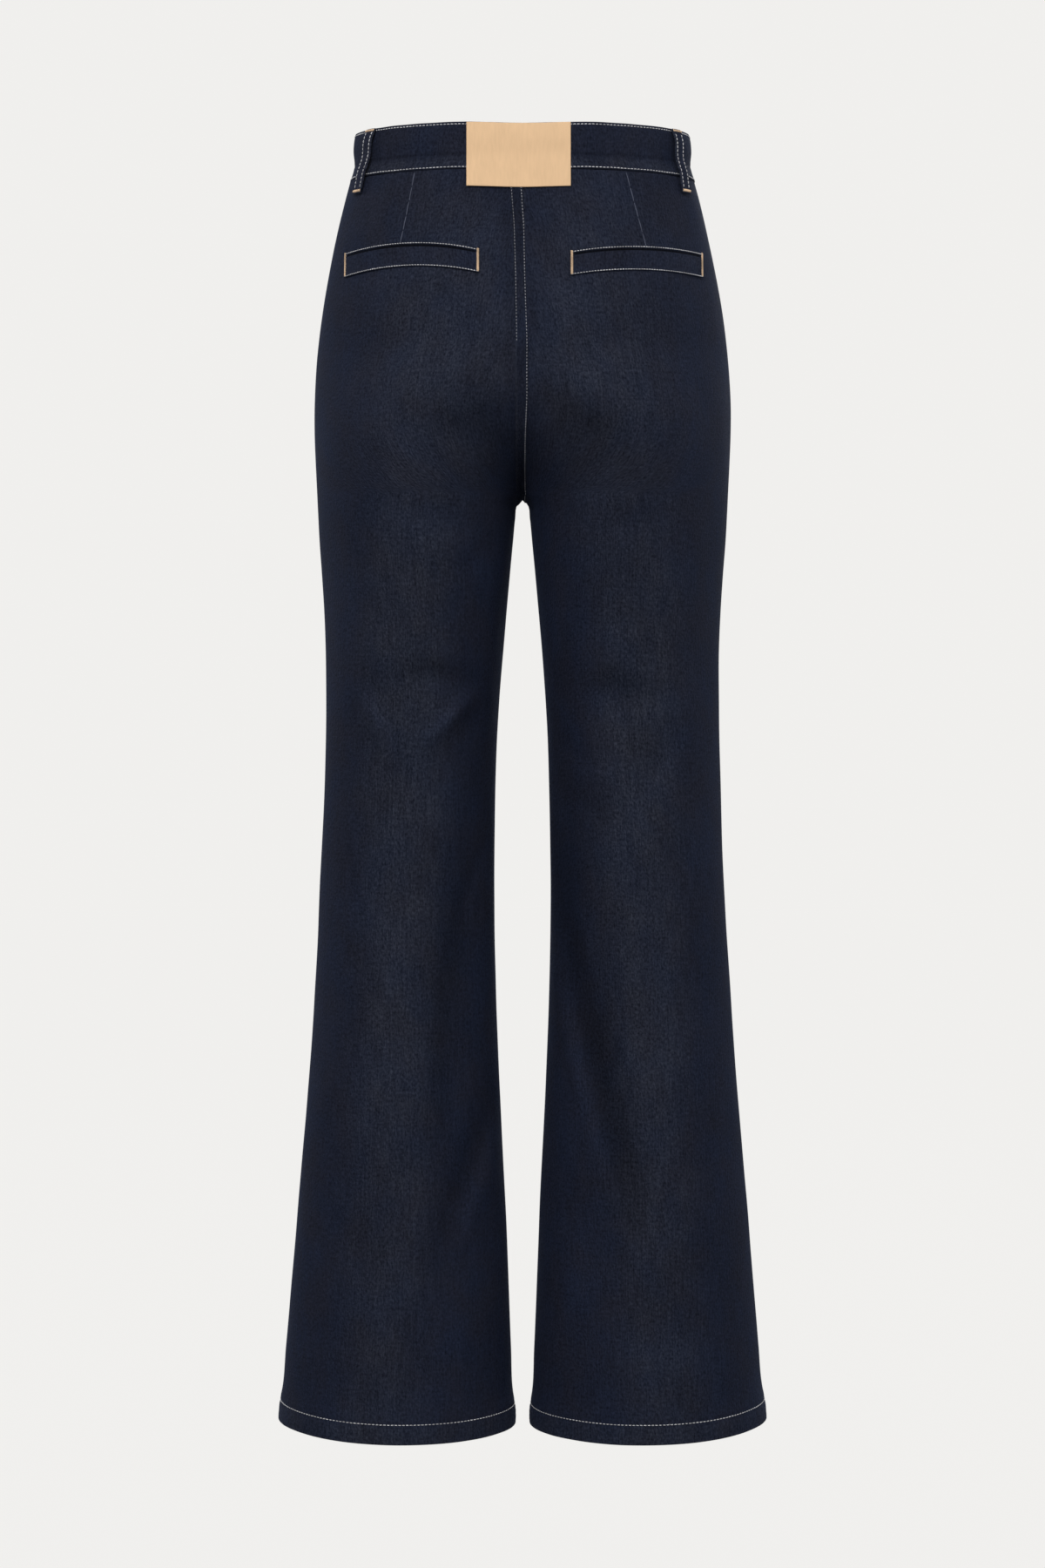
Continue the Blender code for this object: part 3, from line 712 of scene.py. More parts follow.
def new_object(name, corners, faces):
    """A mesh object from its corners and faces."""
    mesh = bpy.data.meshes.new(name)
    mesh.from_pydata(corners, [], faces)
    piece = bpy.data.objects.new(name, mesh)
    bpy.context.scene.collection.objects.link(piece)
    return piece


def quads_of(sheet, first=0):
    """A sheet's faces, as the numbers of their four points, counted from a first one."""
    rows, columns = sheet.points.shape[:2]
    index = first + np.arange(rows * columns).reshape(rows, columns)
    quads = [index[:-1, :-1], index[1:, :-1], index[1:, 1:], index[:-1, 1:]]
    return np.stack(quads, axis=-1).reshape(-1, 4)


def cloth_piece(name, sheet, cloth, face, reverse, fade, shade):
    """A sheet made into a piece of cloth of its thickness, with rounded edges and its own reverse."""
    quads = quads_of(sheet)
    corner = sheet.points.reshape(-1, 3)[quads]
    facing = np.cross(corner[:, 2] - corner[:, 0], corner[:, 3] - corner[:, 1])
    if (facing * sheet.normals[:-1, :-1].reshape(-1, 3)).sum() < 0:
        quads = quads[:, ::-1]
    piece = new_object(name, sheet.points.reshape(-1, 3).tolist(), quads.tolist())
    mesh = piece.data
    pattern = sheet.pattern() + (LAYOUT_STEP * len(bpy.data.meshes), 0)
    layer = mesh.uv_layers.new(name="cut")
    layer.data.foreach_set("uv", pattern.reshape(-1, 2)[quads.ravel()].astype(np.float32).ravel())
    for kind, values in (("seam", sheet.seam_distance()), ("fade", fade), ("shade", shade)):
        point_values(mesh, kind, np.broadcast_to(values, sheet.points.shape[:2]))
    mesh.materials.append(face)
    mesh.materials.append(reverse)
    apply_modifier(piece, "SOLIDIFY", thickness=cloth.thick, offset=-1.0, material_offset=1)
    round_edges(piece, cloth.rounding, RIM_ANGLE)
    bpy.ops.object.shade_smooth()
    width, length = float(np.ptp(pattern[..., 0])), float(np.ptp(pattern[..., 1]))
    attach(piece, "root")
    float(min(sheet.area(), width * length))
    return piece


# Every piece's sheet by the piece's name, to sew on.
SHEETS = {}


class Surface:
    """The outer sides of some sheets, to lay places on."""

    def __init__(self, *names):
        corners, faces = [], []
        for sheet in (SHEETS[name] for name in names):
            faces.extend(quads_of(sheet, len(corners)).tolist())
            corners.extend(sheet.points.reshape(-1, 3).tolist())
        self.tree = BVHTree.FromPolygons(corners, faces)

    def cast(self, origin, direction):
        """The place and outward direction where a ray meets a sheet, or None."""
        place, normal, _, _ = self.tree.ray_cast(origin, direction)
        if place is None:
            return None
        return place, normal if normal.dot(direction) < 0 else -normal

    def land(self, origin, direction):
        """The same, bridging the narrow gap of a seam from its two sides."""
        found = self.cast(origin, direction)
        if found:
            return found
        sides = [Vector((reach, 0, 0)) for reach in (-SEAM_REACH, SEAM_REACH)]
        beside = [hit for hit in (self.cast(origin + side, direction) for side in sides) if hit]
        if not beside:
            raise ValueError(f"nothing to sew on at {tuple(origin)}")
        place = sum((place for place, _ in beside), Vector()) / len(beside)
        return place, sum((normal for _, normal in beside), Vector()).normalized()

    def lay(self, route, face, count=60):
        """A line on the cloth through a few places (x, drop), on the garment's back or front."""
        ahead = Vector((0, -face, 0))
        return [self.land(Vector((x, face, -drop)), ahead) for x, drop in smooth_line(route, count)]


def fell_strip(left, right, surface, first_row, last_row):
    """The folded strip that covers the seam between two panels, raised a little from them."""
    end = min(CROTCH_DROP, first_row[-1][1])
    near = (np.abs(left.points[:, 0, 0]) < SEAM_REACH) & (left.points[:, 0, 2] > -end)
    seam = smooth_line(((left.points[:, 0] + right.points[:, 0]) / 2)[near], FELL_POINTS_DOWN)
    facing = smooth_line(((left.normals[:, 0] + right.normals[:, 0]) / 2)[near], FELL_POINTS_DOWN)
    shares = np.array(FELL_SHARES)
    raised = FELL_RAISE * (1 - np.abs(2 * shares - 1) ** FELL_SQUARENESS) + FELL_LIFT
    (first_x, first_drop), (last_x, last_drop) = zip(*first_row), zip(*last_row)
    rows = []
    for (_, y, z), normal in zip(seam, facing):
        normal = Vector(normal).normalized()
        low = np.interp(-z, first_drop, first_x) - FELL_MARGIN
        high = np.interp(-z, last_drop, last_x) + FELL_MARGIN
        row = []
        for share, height in zip(shares, raised):
            start = Vector((low + (high - low) * share, y, z)) + normal * CAST_HEIGHT
            spot, outward = surface.land(start, -normal)
            row.append(spot + outward * height)
        rows.append(row)
    return Sheet(np.array(rows))


# ---------------------------------------------------------------- sewing


class Line:
    """A line on the cloth, made of (place, normal), to be read at any distance along it."""

    def __init__(self, spots):
        self.places, self.normals = (np.array([tuple(value) for value in values]) for values in zip(*spots))
        self.along = running(np.linalg.norm(np.diff(self.places, axis=0), axis=1))
        self.length = self.along[-1]

    def read(self, values, distance):
        return Vector([np.interp(distance, self.along, values[:, axis]) for axis in range(3)])

    def place(self, distance):
        return self.read(self.places, distance)

    def normal(self, distance):
        return self.read(self.normals, distance)


class Sewing:
    """Stitches of one thread, gathered from every row and made into one mesh."""

    SIDES = 5
    FLATNESS = 0.8

    # A stitch's rings: where each lies along it, and how thick and how high it is, in stitch widths.
    RINGS = (
        (-0.50, 0.30, -0.35),
        (-0.36, 0.85, 0.12),
        (0.0, 1.0, 0.38),
        (0.36, 0.85, 0.12),
        (0.50, 0.30, -0.35),
    )

    def __init__(self):
        self.corners = []
        self.faces = []

    def stitch(self, start, end, normal, width):
        """One stitch from start to end, sunk into the cloth at both ends."""
        along = end - start
        side = normal.cross(along).normalized()
        offset = len(self.corners)
        for place, thick, lift in self.RINGS:
            centre = (start + end) / 2 + along * place + normal * (lift * width)
            for k in range(self.SIDES):
                turn = 2 * math.pi * k / self.SIDES
                spoke = side * math.cos(turn) + normal * (self.FLATNESS * math.sin(turn))
                self.corners.append(centre + spoke * (thick * width / 2))
        rings = [range(first, first + self.SIDES) for first in range(offset, len(self.corners), self.SIDES)]
        for before, after in zip(rings, rings[1:]):
            for k in range(self.SIDES):
                m = (k + 1) % self.SIDES
                self.faces.append((before[k], before[m], after[m], after[k]))
        self.faces.append(tuple(reversed(rings[0])))
        self.faces.append(tuple(rings[-1]))

    def row(self, spots, pitch=STITCH_PITCH, width=STITCH_WIDTH, share=STITCH_SHARE):
        """A row of stitches along a line of (place, normal)."""
        line = Line(spots)
        count = max(1, round(line.length / pitch))
        for i in range(count):
            start, end = ((i + 0.5 + half * share) / count * line.length for half in (-0.5, 0.5))
            normal = line.normal((start + end) / 2).normalized()
            self.stitch(line.place(start), line.place(end), normal, width)

    def bar(self, spots, reach, width=STITCH_WIDTH):
        """Close stitches across a line of (place, normal), each reaching to both sides of it."""
        line = Line(spots)
        count = max(2, round(line.length / BARTACK_PITCH))
        for i in range(count + 1):
            spot = line.length * i / count
            before, after = (spot, spot + AHEAD) if i < count else (spot - AHEAD, spot)
            place, normal = line.place(spot), line.normal(spot)
            forward = (line.place(after) - line.place(before)).normalized()
            side = normal.cross(forward).normalized() * (reach / 2)
            lean = forward * (BARTACK_LEAN * BARTACK_PITCH * (-1) ** i)
            lift = normal * (BARTACK_LIFT * width)
            self.stitch(place - side + lift - lean, place + side + lift + lean, normal, width)

    def make(self, name, material):
        """The gathered stitches as one object."""
        piece = new_object(name, [tuple(corner) for corner in self.corners], self.faces)
        piece.data.materials.append(material)
        pick(piece)
        bpy.ops.object.mode_set(mode="EDIT")
        bpy.ops.mesh.select_all(action="SELECT")
        bpy.ops.mesh.normals_make_consistent(inside=False)
        bpy.ops.object.mode_set(mode="OBJECT")
        bpy.ops.object.shade_smooth()
        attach(piece, "root")
        return piece


# ---------------------------------------------------------------- materials


class Wire:
    """A shader socket that adds Math nodes when it is used in an expression."""

    def __init__(self, maker, socket):
        self.maker = maker
        self.socket = socket

    def math(self, operation, *values):
        return self.maker.node("ShaderNodeMath", {"operation": operation}, *values)

    def __add__(self, other):
        return self.math("ADD", self, other)

    def __sub__(self, other):
        return self.math("SUBTRACT", self, other)

    def __mul__(self, other):
        return self.math("MULTIPLY", self, other)

    def __rsub__(self, other):
        return self.math("SUBTRACT", other, self)

    __radd__ = __add__
    __rmul__ = __mul__

    def sine(self):
        return self.math("SINE", self)

    def clamp(self):
        return self.maker.node("ShaderNodeClamp", {}, self, 0.0, 1.0)

    def spread(self, low=0.36, high=0.64):
        """Stretches a noise's middle values to the whole of 0 to 1."""
        return ((self - low) * (1 / (high - low))).clamp()


class Maker:
    """Builds one material's nodes."""

    def __init__(self, name):
        self.material = bpy.data.materials.new(name)
        self.material.use_nodes = True
        self.tree = self.material.node_tree
        self.shader = self.tree.nodes["Principled BSDF"]

    def node(self, kind, settings, *values, out=None):
        """Adds a node, sets it up, fills its sockets in order and returns its first or its named output."""
        node = self.tree.nodes.new(kind)
        for name, value in settings.items():
            setattr(node, name, value)
        sockets = [socket for socket in node.inputs if socket.enabled]
        for socket, value in zip(sockets, values):
            self.fill(socket, value)
        outputs = {socket.name: socket for socket in node.outputs if socket.enabled}
        return Wire(self, outputs[out or next(iter(outputs))])

    def fill(self, socket, value):
        """Links a wire to a socket, or sets the socket to a plain value."""
        if isinstance(value, Wire):
            self.tree.links.new(value.socket, socket)
        elif value is not None:
            socket.default_value = value

    def set(self, **values):
        """Fills the shader's own sockets, with underscores for spaces in their names."""
        for name, value in values.items():
            self.fill(self.shader.inputs[name.replace("_", " ")], value)

    def mix(self, share, first, second):
        """A colour between two."""
        return self.node("ShaderNodeMix", {"data_type": "RGBA"}, share, first, second)

    def brighten(self, colour, amount):
        """A colour times a number."""
        grey = self.node("ShaderNodeCombineXYZ", {}, amount, amount, amount)
        settings = {"data_type": "RGBA", "blend_type": "MULTIPLY"}
        return self.node("ShaderNodeMix", settings, 1.0, colour, grey)

    def value(self, name):
        """A number stored on the mesh."""
        return self.node("ShaderNodeAttribute", {"attribute_name": name}, out="Fac")

    def cut_place(self):
        """The place on the cut pattern: metres across and up."""
        place = self.node("ShaderNodeUVMap", {"uv_map": "cut"})
        return [self.node("ShaderNodeSeparateXYZ", {}, place, out=axis) for axis in "XY"]

    def noise(self, x, y, across, down, detail=3.0):
        """Noise on the cut pattern, with its grains this long across and down."""
        place = self.node("ShaderNodeCombineXYZ", {}, x * (1 / across), y * (1 / down), 0.0)
        return self.node("ShaderNodeTexNoise", {}, place, 1.0, detail, 0.55)

    def speckle(self, scale, detail=2.0):
        """Noise in the object's own space."""
        place = self.node("ShaderNodeTexCoord", {}, out="Object")
        return self.node("ShaderNodeTexNoise", {}, place, scale, detail, 0.5)

    def bump(self, height, distance):
        """A bump of this height."""
        return self.node("ShaderNodeBump", {}, 1.0, distance, 1.0, height)


def denim(name, colour, blue, weft, look):
    """Indigo twill: warp streaks down the leg, a fine slanting rib, rubbed seams and a faded middle."""
    m = Maker(name)
    x, y = m.cut_place()
    kinds = (TWIST, SLUB, CROSS, FLECK)
    twist, slub, cross, fleck = (m.noise(x, y, kind.across, kind.down).spread() for kind in kinds)
    cloud, blot, drift = (m.noise(x, y, *grain, 2.0).spread() for grain in (CLOUD, BLOT, DYE_DRIFT))
    slant = x * math.cos(look.twill_angle) + y * math.sin(look.twill_angle)
    rib = (slant * (2 * math.pi / look.twill_pitch)).sine()
    fade = m.value("fade")
    rubbed = (1.0 - m.value("seam") * (1 / look.seam_wear_width)).clamp()
    weave = twist * TWIST.tone + slub * SLUB.tone + cross * CROSS.tone + fleck * FLECK.tone
    height = twist * TWIST.height + slub * SLUB.height + cross * CROSS.height + fleck * FLECK.height
    worn = WORN_EVENLY + blot * WORN_IN_BLOTS + cloud * WORN_IN_CLOUDS
    shown = fade * worn * weave * look.weft_share
    shown = (shown + rubbed * weave * look.seam_wear).clamp()
    tone = 1.0 + (weave - 0.5) * look.streaks + (cloud - 0.5) * look.cloudiness
    # The shade values darken the colour where positive and lighten it where negative: painted shade in
    # hollows, folds, welt slits and the band's crevice, and painted highlight on fold arms and inner
    # thighs.
    tone = tone * (1.0 - m.value("shade"))
    warp = m.mix(drift, (*colour, 1.0), (*blue, 1.0))
    base = m.brighten(m.mix(shown, warp, (*weft, 1.0)), tone)
    m.set(
        Base_Color=base,
        Roughness=0.80 + slub * 0.10,
        Normal=m.bump(rib * RIB_HEIGHT + height, look.weave_depth),
        Specular_IOR_Level=0.04,
        Sheen_Weight=look.nap,
        Sheen_Roughness=0.35,
        Sheen_Tint=(0.38, 0.52, 1.0, 1.0),
    )
    return m.material


def label_material(colour):
    """Bare tan card with a soft leathery face: fine upright grain and a few pale patches."""
    m = Maker("label_tan")
    x, y = m.cut_place()
    grain = m.noise(x, y, 0.0020, 0.014).spread()
    pore = m.noise(x, y, 0.0008, 0.0009)
    patch = m.noise(x, y, 0.020, 0.030, 2.0).spread()
    m.set(
        Base_Color=m.brighten((*colour, 1.0), 0.93 + grain * 0.045 + patch * 0.05 + pore * 0.03),
        Roughness=0.66 + pore * 0.12,
        Normal=m.bump(grain * 0.5 + pore, 0.00010),
        Specular_IOR_Level=0.15,
    )
    return m.material


def thread_material(name, colour):
    """Spun thread: matt and slightly uneven in tone."""
    m = Maker(name)
    fleck = m.speckle(900.0)
    m.set(
        Base_Color=m.brighten((*colour, 1.0), 0.55 + fleck * 0.40 + m.speckle(70.0).spread() * 0.50),
        Roughness=0.72 + fleck * 0.12,
        Normal=m.bump(fleck, 0.0001),
        Specular_IOR_Level=0.2,
    )
    return m.material


def metal_material(colour):
    """Copper-toned metal, satin, with uneven tarnish."""
    m = Maker("button_metal")
    wear = m.speckle(420.0, 3.0)
    m.set(
        Base_Color=m.brighten((*colour, 1.0), 0.75 + wear * 0.45),
        Metallic=1.0,
        Roughness=0.26 + wear * 0.22,
        Normal=m.bump(wear, 0.00006),
    )
    return m.material


def stage_material(colour):
    """The floor: pale, and bright enough by itself that its far edge melts into the background."""
    m = Maker("stage_pale")
    m.set(
        Base_Color=m.brighten((0.004, 0.004, 0.004, 1.0), 0.97 + m.speckle(40.0) * 0.06),
        Roughness=1.0,
        Specular_IOR_Level=0.0,
        Emission_Color=(*colour, 1.0),
        Emission_Strength=1.0,
    )
    return m.material


def denim_materials():
    """The denim's face, its rubbed edges and its reverse, made once."""
    look = bpy.context.scene.jeans_cloth
    if "denim_face" not in bpy.data.materials:
        denim("denim_face", look.colour, look.blue, look.weft, look)
        weft = [share * REVERSE_WEFT for share in look.reverse]
        denim("denim_reverse", look.reverse, look.reverse, weft, look)
    return bpy.data.materials["denim_face"], bpy.data.materials["denim_reverse"]


def dress(name, sheet, cloth, material=None, slot="denim", fade=PLAIN_FADE, shade=0.0):
    """Makes a sheet into a piece, of denim or another material, in the place of its solid if it has one."""
    faces = (material, material) if material else denim_materials()
    SHEETS[name] = sheet
    piece = cloth_piece(f"{name}_cloth", sheet, cloth, *faces, fade, shade)
    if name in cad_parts:
        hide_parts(name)


# ---------------------------------------------------------------- what a user can change


LENGTH = {"unit": "LENGTH", "min": 0}
POWER = {"unit": "POWER", "min": 0}
SHARE = {"subtype": "FACTOR", "min": 0, "max": 1}


def colour_setting(name, description, *value):
    """A colour that a user can change."""
    return FloatVectorProperty(
        name=name, description=description, default=value, subtype="COLOR", min=0, max=1
    )


def setting(name, description, value, **kind):
    """A number that a user can change, with its unit and limits."""
    return FloatProperty(name=name, description=description, default=value, **kind)


class JeansCloth(bpy.types.PropertyGroup):
    """The denim."""

    colour: colour_setting("Indigo", "Colour of the warp", 0.0122, 0.0141, 0.0250)
    blue: colour_setting(
        "Bluer indigo", "Colour of the warp where the dye took bluer", 0.0107, 0.0144, 0.0290
    )
    weft: colour_setting("Weft", "Colour that shows where the cloth is rubbed", 0.0460, 0.0505, 0.0640)
    # The darts' fold colour, lighter than the denim: a painted highlight along each fold.
    rubbed: colour_setting("Dart fold highlight", "Colour along the darts' folds", 0.082, 0.092, 0.132)
    reverse: colour_setting("Reverse", "Colour of the inside of the cloth", 0.085, 0.100, 0.140)
    twill_pitch: setting(
        "Twill pitch", "Distance between two slanting ribs", 0.0009, unit="LENGTH", min=0.0003
    )
    twill_angle: setting(
        "Twill angle", "Slant of the ribs' crossing direction", math.radians(-28), subtype="ANGLE"
    )
    weave_depth: setting("Weave depth", "Height of the weave's bump", 0.00035, **LENGTH)
    streaks: setting("Streaks", "Strength of the warp's uneven threads", 1.25, min=0, max=2)
    cloudiness: setting("Cloudiness", "Strength of the broad uneven dye", 0.14, **SHARE)
    weft_share: setting("Weft shown", "How much of the weft shows on the faded middle", 0.55, **SHARE)
    nap: setting("Nap", "How far the cloth's fine hairs lighten its turned edges", 0.04, **SHARE)
    seam_wear: setting("Seam wear", "How much paler the rubbed seams are", 0.30, **SHARE)
    seam_wear_width: setting(
        "Seam wear width", "How far the rubbed edge reaches from a seam", 0.003, unit="LENGTH", min=0.001
    )
    crease_strength: setting(
        "Crease strength", "Depth of the pressed creases, as a share", 1.0, min=0, max=2
    )
    unevenness: setting("Unevenness", "Height of the soft waves all over the cloth", 0.0010, **LENGTH)
    roping: setting("Roping", "Height of the slanting ropes in the hems", 0.00030, **LENGTH)


class JeansTrim(bpy.types.PropertyGroup):
    """The label, the threads and the button."""

    label_colour: colour_setting("Label", "Colour of the bare label", 0.705, 0.476, 0.281)
    pale_thread: colour_setting(
        "Pale thread", "Topstitching of the band, pockets, loops and hems", 0.52, 0.515, 0.53
    )
    grey_thread: colour_setting(
        "Grey thread", "Sewing of the seat seam and the front rise", 0.26, 0.263, 0.288
    )
    bartack_thread: colour_setting("Bartack thread", "Bars at the pocket ends and loops", 0.60, 0.43, 0.285)
    metal: colour_setting("Button", "Colour of the button's metal", 0.62, 0.36, 0.22)


class JeansStage(bpy.types.PropertyGroup):
    """The floor, the background and the lights."""

    colour: colour_setting("Background", "Colour of the floor and the background", 0.871, 0.863, 0.847)
    floor_gap: setting("Floor gap", "How far the floor lies below the hems", 0.30, **LENGTH)
    ambience: setting("Ambience", "Strength of the even light from all round", 0.34, min=0)
    key_power: setting("Main light", "Power of the soft light high behind the camera", 105.0, **POWER)
    fill_power: setting("Fill lights", "Power of the soft light on the right of the back", 14.0, **POWER)
    side_power: setting("Side lights", "Power of each soft light at the side", 30.0, **POWER)


# ---------------------------------------------------------------- operators


class JEANS_OT_panels(bpy.types.Operator):
    """Makes the four leg panels and the facings that show in the front pockets' openings"""

    bl_idname = "jeans.panels"
    bl_label = "Leg panels"

    def execute(self, context):
        look = context.scene.jeans_cloth
        for part in ("back", "front", "pocket_facing"):
            has_hem = part != "pocket_facing"
            for side in SIDES:
                node = f"{part}_{side}"
                sheet = Sheet(refined(sheet_points(node), PANEL_PITCH, hem=has_hem))
                # Painted shade in hollows and folds, painted highlight on fold arms and inner thighs.
                shade = along_routes(sheet, PAINTED_SHADING.get(node, ()))
                depth = panel_depth(node, sheet, look)
                fade = fade_share(sheet)
                if has_hem:
                    depth += hem_depth(sheet, look.roping)
                    fade += HEM_FADE * (1 - ease(sheet.rise() / HEM_ROW_RISE, HEM_FADE_START, 1))
                sheet.press(depth)
                dress(node, sheet, DENIM, fade=fade, shade=shade)
        return {"FINISHED"}


class JEANS_OT_waistband(bpy.types.Operator):
    """Makes both halves of the waistband, with the pressed line along their lower third"""

    bl_idname = "jeans.waistband"
    bl_label = "Waistband"

    def execute(self, context):
        for side in SIDES:
            node = f"waistband_{side}"
            sheet = Sheet(refined(sheet_points(node), TRIM_PITCH, BAND_PITCH))
            rise = sheet.rise()
            fold = hump(rise - BAND_FOLD_RISE, BAND_STAMP)
            rows = hump(rise - BAND_SEAM_ROW, BAND_STAMP) + hump(sheet.down - BAND_EDGE_ROW, BAND_STAMP)
            waves = relief(sheet, BAND_WAVE, BAND_UNEVENNESS)
            sheet.press(BAND_FOLD_DEPTH * fold + BAND_ROW_DEPTH * rows + waves)
            fade = BAND_FADE + BAND_FOOT_FADE * (1 - ease(rise, BAND_FOOT_RISE, BAND_FOLD_RISE))
            # Painted shade along the pressed fold and in the crevice at the band's foot.
            shade = BAND_FOLD_SHADE * fold + BAND_CREVICE_SHADE * (1 - ease(rise, *BAND_CREVICE))
            dress(node, sheet, BAND, fade=fade, shade=shade)
        return {"FINISHED"}


class JEANS_OT_trims(bpy.types.Operator):
    """Makes the felled seams, belt loops, back pocket welts, the fly and the bare label"""

    bl_idname = "jeans.trims"
    bl_label = "Seam strips, loops, welts, fly and label"

    def execute(self, context):
        for side in SIDES:
            self.welt(f"pocket_welt_{side}")
            for place in ("back", "front"):
                self.loop(f"belt_loop_{place}_{side}")
        self.strip("fly", FLY)
        tan = label_material(context.scene.jeans_trim.label_colour)
        self.strip("back_label", LABEL, tan, "label")
        for name, rows in (("back", (SEAT_LEFT_ROW, SEAT_RIGHT_ROW)), ("front", FRONT_RISE_ROWS)):
            left, right = SHEETS[f"{name}_left"], SHEETS[f"{name}_right"]
            sheet = fell_strip(left, right, Surface(f"{name}_left", f"{name}_right"), *rows)
            sheet.press(FELL_PUCKER * np.sin(2 * math.pi * sheet.down / SEAT_STITCH_PITCH))
            shade = FELL_SHADE + FELL_TOP_SHADE * (1 - ease(sheet.down, *FELL_DARK_DROPS))
            dress(f"{name}_fell", sheet, FELL, shade=shade)
        return {"FINISHED"}

    def strip(self, node, cloth, *material_and_slot):
        """A small sheet on the form of its solid."""
        dress(node, Sheet(refined(sheet_points(node), TRIM_PITCH)), cloth, *material_and_slot)

    def loop(self, node):
        """A belt loop, coloured paler on the ridges beside the sewing along its edges."""
        sheet = Sheet(refined(sheet_points(node), LOOP_PITCH, TRIM_PITCH))
        from_row = np.abs(sheet.seam_distance() - EDGE_ROW)
        ridge = hump(from_row - LOOP_RIDGE, LOOP_RIDGE_WIDTH)
        sheet.press(LOOP_ROW_DEPTH * hump(from_row, LOOP_RIDGE_WIDTH))
        dress(node, sheet, LOOP, fade=LOOP_FADE, shade=-LOOP_PALE * ridge)

    def welt(self, node):
        """A welt with the slit of its pocket under the upper row of sewing, darkened with painted shade."""
        sheet = Sheet(refined(sheet_points(node), TRIM_PITCH, WELT_PITCH))
        slit = hump(sheet.down - WELT_SLIT, WELT_SLIT_WIDTH, power=4)
        slit *= ease(sheet.seam_distance(), *WELT_SLIT_ENDS)
        sheet.press(WELT_SLIT_DEPTH * slit)
        dress(node, sheet, WELT, shade=WELT_SLIT_SHADE * slit)


class JEANS_OT_button(bpy.types.Operator):
    """Makes the waist button from a turned disc, with a rolled rim and a domed middle"""

    bl_idname = "jeans.button"
    bl_label = "Button"

    def execute(self, context):
        low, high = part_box("waist_button")
        middle = (low + high) / 2
        turned = (-math.pi / 2, 0, 0)
        bpy.ops.object.select_all(action="DESELECT")
        bpy.ops.mesh.primitive_cylinder_add(
            vertices=64, radius=BUTTON_RADIUS, depth=high.y - low.y, location=middle, rotation=turned
        )
        button = context.object
        button.name = "button_metal"
        bpy.ops.object.transform_apply(location=True, rotation=True, scale=True)
        bpy.ops.object.mode_set(mode="EDIT")
        bpy.ops.mesh.select_mode(type="FACE")
        bpy.ops.mesh.select_all(action="DESELECT")
        shape = bmesh.from_edit_mesh(button.data)
        for face in shape.faces:
            face.select = face.normal.y > 0.9
        bmesh.update_edit_mesh(button.data)
        for step in BUTTON_STEPS:
            bpy.ops.mesh.inset(thickness=step.inset)
            bpy.ops.transform.translate(value=(0, step.sink, 0))
        bpy.ops.object.mode_set(mode="OBJECT")
        round_edges(button, BUTTON_EDGE, BUTTON_EDGE_ANGLE)
        bpy.ops.object.shade_smooth()
        button.data.materials.append(metal_material(context.scene.jeans_trim.metal))
        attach(button, "root")
        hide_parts("waist_button")
        return {"FINISHED"}


